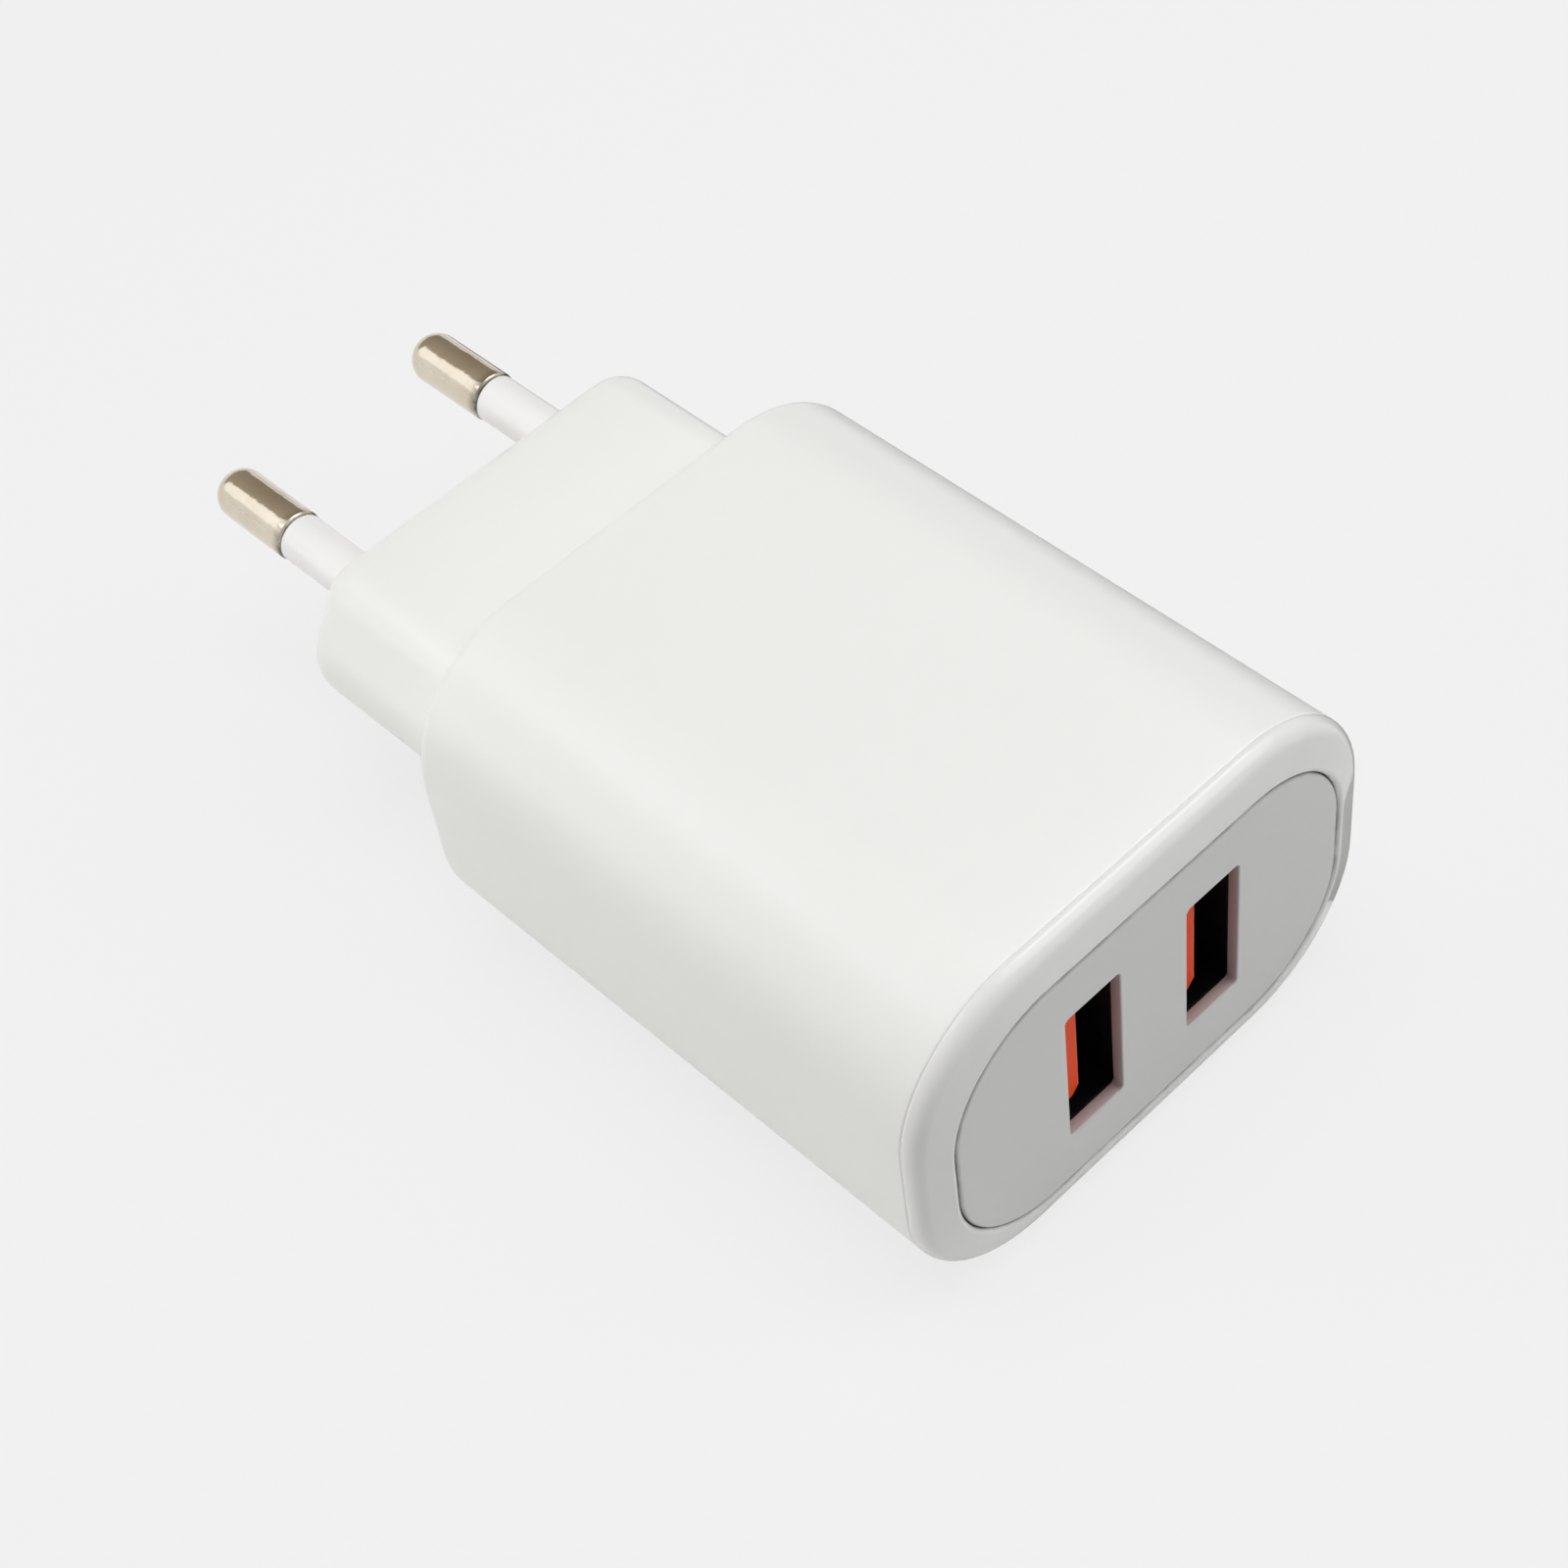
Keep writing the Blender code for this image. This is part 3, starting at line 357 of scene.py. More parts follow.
def piece(name, parts, nodes, body, finish):
    """Closed mesh of some grids, welded where points meet, facing outwards by its volume's sign."""
    starts = np.cumsum([0] + [len(points) for points, _ in parts[:-1]])
    faces = np.concatenate([faces + start for (_, faces), start in zip(parts, starts)])
    points = np.concatenate([points for points, _ in parts])
    cells = np.round(points[:, :3] / WELD).astype(np.int64)
    _, first, back = np.unique(cells, axis=0, return_index=True, return_inverse=True)
    used, faces = np.unique(back.reshape(-1)[faces], return_inverse=True)
    marks, points = points[first][used, 3], points[first][used, :3]
    faces = faces.reshape(-1, 4)
    double = faces == np.roll(faces, -1, axis=1)
    fours = faces[double.sum(axis=1) == 0]
    single = double.sum(axis=1) == 1
    threes = faces[single][~double[single]].reshape(-1, 3)
    triangles = np.concatenate([fours[:, :3], fours[:, (0, 2, 3)], threes])
    corners = points[triangles]
    normals = np.cross(corners[:, 1], corners[:, 2])
    if np.einsum("ij,ij->i", corners[:, 0], normals).sum() < 0:
        fours, threes = fours[:, ::-1], threes[:, ::-1]
    mesh = bpy.data.meshes.new(name)
    mesh.from_pydata(points.tolist(), [], fours.tolist() + threes.tolist())
    mesh.shade_smooth()
    mesh.set_sharp_from_angle(angle=SHARP)
    attribute = mesh.attributes.new("mark", "FLOAT", "POINT")
    attribute.data.foreach_set("value", marks.astype(np.float32))
    mesh.materials.append(finish)
    made = bpy.data.objects.new(name, mesh)
    bpy.context.scene.collection.objects.link(made)
    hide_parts(*nodes)
    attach(made, body)


def body_path(inset=0.0, corner=BODY_CORNER):
    """Outline of the body, or a smaller one inside it with its own corner radius."""
    return frame_path(RIM_LOW[[0, 2]] + inset, RIM_HIGH[[0, 2]] - inset, corner)


def bar(low, high, edge):
    """Closed bar along Y with rounded long edges and rounded ends, drawn together at both ends."""
    path = frame_path(low[[0, 2]], high[[0, 2]], edge)
    draw = edge * BAR_DRAW
    return capped(sweep(path, arc(draw, high[1] - edge, (draw, edge), 90, 0, BAR_STEPS),
                        arc(draw, low[1] + edge, (draw, edge), 0, -90, BAR_STEPS)))


def housing_shell():
    """Body shell: rounded rear edge, long wall, thin front lip, hollow inside, and two rails.

    The rear wall has a window round the plug section.
    """
    lip = FRONT + RIM_DEPTH + SEAM
    eased = lip + SEAM_ROUND * np.sin(np.radians(SEAM_TURN))
    outside = sweep(body_path(),
                    arc(BODY_EDGE, BODY_REAR - BODY_EDGE, BODY_EDGE, 90, 0, BODY_EDGE_STEPS))
    front = sweep(body_path(), arc(SEAM_ROUND, eased, SEAM_ROUND, 0, -SEAM_TURN, EDGE_STEPS),
                  line((WALL, lip), (WALL, BODY_REAR - WALL)))
    window = sweep(plug_path(False), line((-PLUG_SEAM, BODY_REAR - WALL)),
                   arc(-PLUG_SEAM - SMALL_EDGE, BODY_REAR - SMALL_EDGE, SMALL_EDGE, -180, -270,
                       OPENING_STEPS))
    wall = stations(outside[-1:], front[:1], BODY_ROWS)
    shell = skin([outside, wall, front, window, bridge(window[-1:], outside[:1])])
    board_low, board_high = span("main_board")
    rails = []
    for sign in SIDES.values():
        middle = sign * RAIL_SPACING / 2
        low = np.array((middle - RAIL_WIDTH / 2, board_low[1], WALL / 2))
        high = np.array((middle + RAIL_WIDTH / 2, board_high[1], board_low[2] - FIT))
        rails.append(bar(low, high, RAIL_EDGE))
    return [shell] + rails


def front_rim():
    """Rim round the faceplate: a bead with a sloping face, a lip at the groove, a ledge behind it.

    The bead turns through RIM_TURN degrees, a straight slope of that angle follows, and the lip
    turns the rest of the way. The bead's centre lies as far behind the front as the heights of
    lip, slope and bead add up to.
    """
    groove = body_path(RIM_WIDTH, PLATE_CORNER)
    rear = FRONT + RIM_DEPTH
    eased = rear - SEAM_ROUND * np.sin(np.radians(SEAM_TURN))
    across, along = np.cos(np.radians(RIM_TURN)), np.sin(np.radians(RIM_TURN))
    slope = (RIM_WIDTH - RIM_LIP * (1 + across) - RIM_ROUND * (1 - across)) * across / along
    height = RIM_LIP * (1 - along) + slope + RIM_ROUND * along
    bead = sweep(body_path(), arc(SEAM_ROUND, eased, SEAM_ROUND, SEAM_TURN, 0, EDGE_STEPS),
                 arc(RIM_ROUND, FRONT + height, RIM_ROUND, 0, -RIM_TURN, RIM_STEPS))
    ledge_front, ledge_rear = PLATE_REAR + FIT, RIM_HIGH[1]
    inner = sweep(groove,
                  arc(-RIM_LIP, FRONT + RIM_LIP, RIM_LIP, -RIM_TURN, -90, LIP_STEPS),
                  # From this turn into the groove and over the ledge the mark rises to 1: painted
                  # shade with dirt
                  arc(-RIM_LIP, FRONT + RIM_LIP, RIM_LIP, -GROOVE_SHADE_AND_GRIME_TURN, -180, GROOVE_SHADE_AND_GRIME_STEPS,
                      mark=(0.0, 1.0)),
                  line((0, ledge_front), (LEDGE_WIDTH, ledge_front), (LEDGE_WIDTH, ledge_rear),
                       mark=1.0))
    ledge = sweep(body_path(), line((WALL + FIT, ledge_rear), (WALL + FIT, rear)))
    return [skin([bead, bridge(bead[-1:], inner[:1], RIM_FACE_STEPS), inner, ledge])]


def faceplate():
    """Plate with two port windows: right half and its mirror image, joined along x = 0."""
    high = PLATE_HIGH[[0, 2]] + (FIT - PLATE_GROOVE)
    radius = PLATE_CORNER - PLATE_GROOVE
    points, normals = frame_path((0, 2 * MID_Z - high[1]), high, (0, radius, radius, 0))
    path = points, halve(points - (0, MID_Z), normals, high[1] - MID_Z)
    # The plate's edge down in the groove carries mark 1, fading over its rounding: painted shade
    # with dirt
    edge = sweep(path, line((0, PLATE_REAR), mark=1.0),
                 arc(PLATE_EDGE, PLATE_FACE + PLATE_EDGE, PLATE_EDGE, 0, -90, EDGE_STEPS,
                     mark=(1.0, 0.0)))
    shell_low, shell_high = span("usb_shell_right")
    middle = np.array(((shell_low[0] + shell_high[0]) / 2, MID_Z))
    shell_top = np.array((shell_high[0], 2 * MID_Z - BOARD_TOP))
    opening = frame_path(middle - WINDOW / 2, middle + WINDOW / 2, WINDOW_CORNER)
    # Marks below 0 paint shade inside each port window
    lip = sweep(opening, arc(-WINDOW_EDGE, PLATE_FACE + WINDOW_EDGE, WINDOW_EDGE, -90, -180,
                             EDGE_STEPS, mark=(0.0, OUTER_WINDOW_SHADE)),
                line((0, PLATE_FACE + WINDOW_LIP), mark=INNER_WINDOW_SHADE))
    pocket = sweep(frame_path(2 * middle - shell_top - FIT, shell_top + FIT, FIT),
                   line((0, PLATE_FACE + WINDOW_LIP), (0, PLATE_REAR)))
    rows = [edge, bridge(edge[-1:], lip[:1]), lip, pocket]
    half = skin(rows, open_rows=len(edge), seam=np.abs(points[:, 0]) < WELD)
    return [half, mirrored(half)]


def plug_shell():
    """Plug section: rounded nose, straight neck, flange inside the body, and a bore per sleeve.

    It is hollow, and its right half and its mirror image join along x = 0.
    """
    path = plug_path(True)
    nose = sweep(path, arc(NOSE_EDGE, NOSE - NOSE_EDGE, NOSE_EDGE, 90, 0, NOSE_STEPS))
    neck = sweep(path, line((0, FLANGE_REAR), (-FLANGE_LAP, FLANGE_REAR),
                            (-FLANGE_LAP, PLUG_LOW[1]), (PLUG_WALL, PLUG_LOW[1]),
                            (PLUG_WALL, NOSE - NOSE_WALL)))
    outside = np.concatenate([nose, stations(nose[-1:], neck[:1], PLUG_ROWS), neck])
    low, high = span("pin_right")
    middle = (low[0] + high[0]) / 2
    radius = SLEEVE_RADIUS + SLEEVE_FIT
    circle = frame_path((middle - radius, MID_Z - radius), (middle + radius, MID_Z + radius),
                        radius)
    bore = sweep(circle, line((0, NOSE - NOSE_WALL)),
                 arc(-SMALL_EDGE, NOSE - SMALL_EDGE, SMALL_EDGE, -180, -270, BORE_STEPS))
    rows = [outside, bore, bridge(bore[-1:], outside[:1])]
    half = skin(rows, open_rows=len(outside), seam=np.abs(path[0][:, 0]) < WELD)
    return [half, mirrored(half)]


def turned(x, profile, loop):
    """Surface of revolution about a line along Y: a row is a circle of its radius at its depth."""
    angle = np.linspace(0, 2 * np.pi, TURN_STEPS, endpoint=False)
    radius, depth, mark = profile[:, :1], profile[:, 1:2], profile[:, 2:]
    rows = grid(x + radius * np.cos(angle), depth, MID_Z + radius * np.sin(angle), mark)
    return [skin([rows], loop=loop)]


def pin(side):
    """Round pin: domed end, straight metal and a rounded shoulder; inside, core, head and tail."""
    low, high = span("pin_" + side)
    sleeve_low, sleeve_high = span("pin_sleeve_" + side)
    radius = (high[0] - low[0]) / 2
    metal = sleeve_high[1] + FIT
    head = sleeve_low[1] - FIT
    dome = arc(0, high[1] - PIN_DOME, (-radius, PIN_DOME), 90, 0, PIN_DOME_STEPS)
    # From here to the sleeve, and on the hidden parts inside, the mark rises to 1: painted shade
    # where the pin meets its sleeve
    clean = line((radius, metal + PIN_JOINT_SHADE_LENGTH))
    shoulder = arc(radius - PIN_EDGE, metal + PIN_EDGE, (-PIN_EDGE, PIN_EDGE), 0, -90, EDGE_STEPS,
                   mark=(PIN_JOINT_SHADE_START, 1.0))
    inside = line((PIN_CORE, metal), (PIN_CORE, head), (radius, head), (radius, head - PIN_HEAD),
                  (PIN_CORE, head - PIN_HEAD), (PIN_CORE, low[1]), (0, low[1]), mark=1.0)
    profile = np.concatenate([dome, clean, shoulder, inside])
    return turned((low[0] + high[0]) / 2, profile, False)


def pin_sleeve(side):
    """Moulded tube round the pin's core with a rounded end, and a collar behind the nose."""
    low, high = span("pin_sleeve_" + side)
    end = high[1] + FIT - SLEEVE_FIT
    rounded = arc(SLEEVE_RADIUS - SLEEVE_EDGE, end - SLEEVE_EDGE, (-SLEEVE_EDGE, SLEEVE_EDGE),
                  90, 0, EDGE_STEPS)
    collar = low[1] + COLLAR_LENGTH
    bore = PIN_CORE + SLEEVE_FIT
    tube = line((SLEEVE_RADIUS, collar), (COLLAR_RADIUS, collar), (COLLAR_RADIUS, low[1]),
                (bore, low[1]), (bore, end))
    return turned((low[0] + high[0]) / 2, np.concatenate([rounded, tube]), True)


def port_shell(side):
    """Folded shell, open at the front, with pressed springs inside and two legs through the board.

    A spring is a smooth swelling of the inner wall: its height times exp(-(u^2 + v^2)), with u
    along Y from its crest and v along Z, each divided by its spread.
    """
    low, high = span("usb_shell_" + side)
    floor = 2 * MID_Z - high[2]
    path = frame_path((low[0], floor), high[[0, 2]], SHELL_CORNER)
    front, rear = SHELL_MOUTH, high[1]
    outside = sweep(path, line((SHELL_CORNER, rear), (0, rear)),
                    arc(SHELL_WALL / 2, front + SHELL_WALL / 2, SHELL_WALL / 2, 0, -180,
                        MOUTH_STEPS))
    back = sweep(path, line((SHELL_WALL, rear - SHELL_WALL), (SHELL_CORNER, rear - SHELL_WALL)))
    inside = stations(outside[-1:], back[:1], SHELL_ROWS)
    along = (inside[..., 1] - front - SPRING_DEPTH) / SPRING_LENGTH
    across = (np.abs(inside[..., 2] - MID_Z) - SPRING_OFFSET) / SPRING_SPREAD
    swell = SPRING_HEIGHT * np.exp(-along ** 2 - across ** 2)
    middle = (low[0] + high[0]) / 2
    broad = np.abs(path[1][:, 0]) > BROAD_NORMAL
    inside[..., 0] -= np.where(broad, np.sign(inside[..., 0] - middle) * swell, 0)
    shell = capped(np.concatenate([outside, inside, back]))
    leg_front = front + LEG_SETBACK - LEG_WIDTH / 2
    leg_rear = front + LEG_SETBACK + LEG_WIDTH / 2
    legs = []
    for edge_x in (low[0], high[0] - SHELL_WALL):
        leg_low = np.array((edge_x, leg_front, low[2]))
        leg_high = np.array((edge_x + SHELL_WALL, leg_rear, floor + SHELL_CORNER * 2))
        legs.append(bar(leg_low, leg_high, LEG_EDGE))
    return [shell] + legs


def port_tongue(side):
    """Insulator: a chamfered tongue with a groove per contact, its tip rounded, and its base.

    Rows are one outline along Y. Towards the tip it draws in about its middle by a quarter
    ellipse, and the groove floors drop from the face to the groove depth where the grooves start.
    The mark is sin 2a round the tip's edge, and paints a highlight along it.
    """
    low, high = span("usb_tongue_" + side)
    contacts = [span("usb_contact_%s_%d" % (side, number)) for number in CONTACT_NUMBERS]
    contact_low, contact_high = np.array(contacts).transpose(1, 0, 2)
    face = (low[0] + high[0]) / 2
    back = face - TONGUE_THICKNESS
    bottom, top = MID_Z - TONGUE_HEIGHT / 2, MID_Z + TONGUE_HEIGHT / 2
    slots = np.stack([contact_low[:, 2] - FIT, contact_high[:, 2] + FIT], axis=-1)
    notch_z = np.repeat(slots, 2, axis=1).reshape(-1)
    x = np.concatenate([(back, face - TONGUE_CHAMFER, face), face + 0 * notch_z,
                        (face, face - TONGUE_CHAMFER, back)])
    z = np.concatenate([(bottom, bottom, bottom + TONGUE_CHAMFER), notch_z,
                        (top - TONGUE_CHAMFER, top, top)])
    notch = np.concatenate([(0, 0, 0), np.tile((0, 1, 1, 0), len(slots)), (0, 0, 0)])
    turn = np.linspace(0, np.pi / 2, EDGE_STEPS + 1)
    start, rear = low[1] + GROOVE_START, contact_high[0, 1] + FIT
    depth = np.concatenate([TONGUE_TIP + TONGUE_EDGE * (1 - np.cos(turn)),
                            (start, start, rear, rear)])
    draw = np.concatenate([TONGUE_EDGE * (1 - np.sin(turn)), (0, 0, 0, 0)])[:, None]
    cut = np.concatenate([0 * turn, (0, 1, 1, 0)])[:, None] * GROOVE_DEPTH
    # Mark round the tip's edge: a painted highlight, strongest midway round the rounding
    edge = np.concatenate([np.sin(2 * turn), (0, 0, 0, 0)])[:, None]
    middle_x = (face + back) / 2
    rows = grid(x + (middle_x - x) * draw * 2 / TONGUE_THICKNESS - notch * cut, depth[:, None],
                z + (MID_Z - z) * draw * 2 / TONGUE_HEIGHT, edge)
    base = bar(np.array((low[0], rear, low[2])), high, BASE_EDGE)
    return [capped(rows), base]


def port_contact(side, number):
    """Sprung strip: a rounded section carried along a bent line.

    The line's distance from the port's middle is the smooth least of a slope that rises from the
    root and one that falls to the tip: -s log(exp(-rise / s) + exp(-fall / s)), and never less
    than the root's own distance.
    """
    low, high = span("usb_contact_%s_%d" % (side, number))
    tongue_low, tongue_high = span("usb_tongue_" + side)
    middle = (tongue_low[0] + tongue_high[0]) / 2
    root = low[0] + CONTACT_THICKNESS / 2 - middle
    y = np.linspace(high[1], low[1] + CONTACT_THICKNESS / 2, CONTACT_ROWS)
    shoulder = tongue_low[1] + GROOVE_START + CONTACT_CREST
    rise = CONTACT_SHOULDER + CONTACT_RISE * (shoulder - y)
    fall = CONTACT_SHOULDER + CONTACT_FALL * (y - shoulder + 2 * CONTACT_HALF_CREST)
    x = -CONTACT_BEND * np.log(np.exp(-rise / CONTACT_BEND) + np.exp(-fall / CONTACT_BEND))
    x = np.maximum(x, root)
    slope = np.gradient(x, y)
    length = np.hypot(1, slope)
    across = np.stack([1 / length, -slope / length], axis=-1)
    half = np.array((CONTACT_THICKNESS, high[2] - low[2])) / 2
    section, _ = frame_path(-half, half, CONTACT_EDGE)
    return [capped(grid(middle + x[:, None] + across[:, :1] * section[:, 0],
                        y[:, None] + across[:, 1:] * section[:, 0],
                        (low[2] + high[2]) / 2 + section[:, 1]))]


def feed(tree, socket, value):
    """Links an output into a socket, or sets the socket's own value."""
    if isinstance(value, bpy.types.NodeSocket):
        tree.links.new(value, socket)
    else:
        socket.default_value = value


def add(tree, kind, sockets=None, **settings):
    """New node with its settings, and its sockets fed by name or number."""
    made = tree.nodes.new("ShaderNode" + kind)
    for name, value in settings.items():
        setattr(made, name, value)
    for name, value in (sockets or {}).items():
        feed(tree, made.inputs[name], value)
    return made


def blend_colour(tree, share, first, second):
    """Colour between two colours."""
    return add(tree, "Mix", {0: share, 6: first, 7: second}, data_type="RGBA").outputs[2]


def ranged(tree, value, low, high, to_low, to_high):
    """Value moved from one range to another and kept inside it."""
    return add(tree, "MapRange", {"Value": value, "From Min": low, "From Max": high,
                                  "To Min": to_low, "To Max": to_high}).outputs["Result"]


def maths(tree, operation, first, second=0.0):
    """One step of arithmetic."""
    return add(tree, "Math", {0: first, 1: second}, operation=operation).outputs[0]


def new_group(name, inputs, outputs):
    """Empty node group with named sockets: its tree, its input sockets and its output sockets."""
    tree = bpy.data.node_groups.new(name, "ShaderNodeTree")
    for label, kind, value in inputs:
        socket = tree.interface.new_socket(label, in_out="INPUT", socket_type="NodeSocket" + kind)
        if value is not None:
            socket.default_value = value
    for label, kind in outputs:
        tree.interface.new_socket(label, in_out="OUTPUT", socket_type="NodeSocket" + kind)
    given, out = tree.nodes.new("NodeGroupInput"), tree.nodes.new("NodeGroupOutput")
    return tree, given.outputs, out.inputs


# Detail of each noise of the moulded grain, and the range of it that becomes 0 to 1
GRAIN_LAYERS = ("Drift", 3.0, 0.3, 0.7), ("Polish", 4.0, 0.25, 0.75), ("Grain", 2.0, 0.2, 0.8)
LINE_STRETCH = 1.0, 0.03, 1.0
LINE_DETAIL, LINE_RANGE = 3.0, (0.25, 0.75)
CLOUD_DETAIL, CLOUD_RANGE = 4.0, (0.3, 0.7)


def moulded_grain():
    """Moulding effect: slow drift of the colour, uneven polish, and the fine grain of the tool."""
    tree, given, out = new_group(
        "moulded_grain",
        [("Position", "Vector", None), ("Drift Scale", "Float", 60.0),
         ("Polish Scale", "Float", 700.0), ("Grain Scale", "Float", 9000.0)],
        [("Drift", "Float"), ("Polish", "Float"), ("Grain", "Float")])
    for label, detail, low, high in GRAIN_LAYERS:
        noise = add(tree, "TexNoise", {"Vector": given["Position"],
                                       "Scale": given[label + " Scale"], "Detail": detail})
        feed(tree, out[label], ranged(tree, noise.outputs["Fac"], low, high, 0.0, 1.0))
    return tree


def settled_dust():
    """Sparse specks: inside a few of a cell pattern's cells, a mask near the cell's own point."""
    tree, given, out = new_group(
        "settled_dust",
        [("Position", "Vector", None), ("Cells", "Float", 260.0), ("Reach", "Float", 0.035),
         ("Share", "Float", 0.12)],
        [("Mask", "Float")])
    cells = add(tree, "TexVoronoi", {"Vector": given["Position"], "Scale": given["Cells"]})
    near = maths(tree, "LESS_THAN", cells.outputs["Distance"], given["Reach"])
    chosen = add(tree, "SeparateColor", {0: cells.outputs["Color"]})
    few = maths(tree, "LESS_THAN", chosen.outputs[0], given["Share"])
    feed(tree, out["Mask"], maths(tree, "MULTIPLY", near, few))
    return tree


def drawn_lines():
    """Drawing effect on metal: fine lines along Y, and cloudy tarnish."""
    tree, given, out = new_group(
        "drawn_lines",
        [("Position", "Vector", None), ("Line Scale", "Float", 9000.0),
         ("Cloud Scale", "Float", 400.0)],
        [("Lines", "Float"), ("Cloud", "Float")])
    stretched = add(tree, "Mapping", {"Vector": given["Position"], "Scale": LINE_STRETCH})
    lines = add(tree, "TexNoise", {"Vector": stretched.outputs[0], "Scale": given["Line Scale"],
                                   "Detail": LINE_DETAIL})
    cloud = add(tree, "TexNoise", {"Vector": given["Position"], "Scale": given["Cloud Scale"],
                                   "Detail": CLOUD_DETAIL})
    feed(tree, out["Lines"], ranged(tree, lines.outputs["Fac"], *LINE_RANGE, 0.0, 1.0))
    feed(tree, out["Cloud"], ranged(tree, cloud.outputs["Fac"], *CLOUD_RANGE, 0.0, 1.0))
    return tree


EFFECTS = {"moulded_grain": moulded_grain(), "settled_dust": settled_dust(),
           "drawn_lines": drawn_lines()}


def colour(red, green, blue):
    """Colour socket value."""
    return red, green, blue, 1.0


WHITE = colour(1, 1, 1)
DUST_GREY = colour(0.42, 0.40, 0.37)
# Colour of the painted shade where a pin meets its sleeve
PIN_JOINT_SHADE = colour(0.10, 0.095, 0.085)
# Colour of the painted shade with dirt in the groove round the faceplate
GROOVE_SHADE_AND_GRIME = colour(0.27, 0.26, 0.24)
MARK_RANGE, MARK_SHARE = (0.2, 0.8), (0.3, 1.0)
GRAIN_RELIEF = 0.35
METAL_RELIEF = 0.4
TRACK_CELLS = 260.0
TRACK_EDGE = 0.05, 0.07
TRACK_COLOUR = colour(0.09, 0.34, 0.13)
TRACK_RELIEF, TRACK_DEPTH = 0.3, 0.03 * MM
MASK_COLOURS = colour(0.03, 0.17, 0.06), colour(0.04, 0.22, 0.08)
MASK_ROUGH = 0.3, 0.45


def new_finish(name):
    """Empty material: its tree, its shader and the object position that its patterns read."""
    material = bpy.data.materials.new(name)
    material.use_nodes = True
    tree = material.node_tree
    position = add(tree, "TexCoord").outputs["Object"]
    return material, tree, tree.nodes["Principled BSDF"], position


def effect(tree, name, sockets):
    """One of the shared effects, placed in a material with its own values."""
    return add(tree, "Group", sockets, node_tree=EFFECTS[name]).outputs


def bump(tree, shader, height, strength, distance):
    """Small relief on the shader's normal."""
    made = add(tree, "Bump", {"Strength": strength, "Distance": distance, "Height": height})
    feed(tree, shader.inputs["Normal"], made.outputs[0])


def marking(tree, unevenness):
    """The surface's own mark, and the same a little less where an effect's value is low."""
    mark = add(tree, "Attribute", attribute_name="mark").outputs["Fac"]
    share = ranged(tree, unevenness, *MARK_RANGE, *MARK_SHARE)
    return mark, maths(tree, "MULTIPLY", mark, share)


def plastic(name, light, shade, rough, grain=9000.0, depth=0.004 * MM, dust=0.0, marked=GROOVE_SHADE_AND_GRIME,
            recess_shade=None, specular=0.5):
    """Moulded plastic: colour drifting between two tones, uneven polish, grain, marks and dust.

    Where the mark rises to 1 the colour runs to the marked one: painted shade with dirt in a groove
    on the white plastics, a painted highlight on a tongue's edge on the orange. Where it falls
    below
    0, to -1, the colour runs to the painted shade inside a port window.
    """
    material, tree, shader, position = new_finish(name)
    surface = effect(tree, "moulded_grain", {"Position": position, "Grain Scale": grain})
    base = blend_colour(tree, surface["Drift"], light, shade)
    if dust:
        specks = effect(tree, "settled_dust", {"Position": position, "Share": dust})
        base = blend_colour(tree, specks["Mask"], base, DUST_GREY)
    # The mark's share runs the colour to the marked one: painted shade with dirt in a groove, and a
    # painted highlight on a tongue's edge
    mark, shade_grime_and_highlight = marking(tree, surface["Polish"])
    # Below 0 the mark runs the colour to the painted shade inside a port window
    if recess_shade:
        base = blend_colour(tree, maths(tree, "MULTIPLY", mark, -1.0), base, recess_shade)
    feed(tree, shader.inputs["Base Color"], blend_colour(tree, shade_grime_and_highlight, base, marked))
    feed(tree, shader.inputs["Roughness"], ranged(tree, surface["Polish"], 0.0, 1.0, *rough))
    shader.inputs["Specular IOR Level"].default_value = specular
    bump(tree, shader, surface["Grain"], GRAIN_RELIEF, depth)
    return material


def metal(name, light, dark, rough, lines=9000.0, depth=0.002 * MM, waves=0.0, marked=PIN_JOINT_SHADE):
    """Drawn or plated metal: two tones clouded by tarnish, marks, drawing lines and slow waves."""
    material, tree, shader, position = new_finish(name)
    surface = effect(tree, "drawn_lines", {"Position": position, "Line Scale": lines})
    base = blend_colour(tree, surface["Cloud"], light, dark)
    # On a pin the mark runs the colour to the painted shade where it meets its sleeve
    _, joint_shade_share = marking(tree, surface["Cloud"])
    feed(tree, shader.inputs["Base Color"], blend_colour(tree, joint_shade_share, base, marked))
    feed(tree, shader.inputs["Roughness"], ranged(tree, surface["Lines"], 0.0, 1.0, *rough))
    shader.inputs["Metallic"].default_value = 1.0
    wave = maths(tree, "MULTIPLY", surface["Cloud"], waves)
    bump(tree, shader, maths(tree, "ADD", surface["Lines"], wave), METAL_RELIEF, depth)
    return material


def board_laminate():
    """Solder mask over tracks: a stepped cell pattern shows lighter tracks on the green."""
    material, tree, shader, position = new_finish("board_laminate")
    surface = effect(tree, "moulded_grain", {"Position": position})
    cells = add(tree, "TexVoronoi", {"Vector": position, "Scale": TRACK_CELLS},
                feature="DISTANCE_TO_EDGE")
    track = ranged(tree, cells.outputs["Distance"], *TRACK_EDGE, 1.0, 0.0)
    green = blend_colour(tree, surface["Drift"], *MASK_COLOURS)
    feed(tree, shader.inputs["Base Color"], blend_colour(tree, track, green, TRACK_COLOUR))
    feed(tree, shader.inputs["Roughness"], ranged(tree, surface["Polish"], 0.0, 1.0, *MASK_ROUGH))
    bump(tree, shader, track, TRACK_RELIEF, TRACK_DEPTH)
    return material


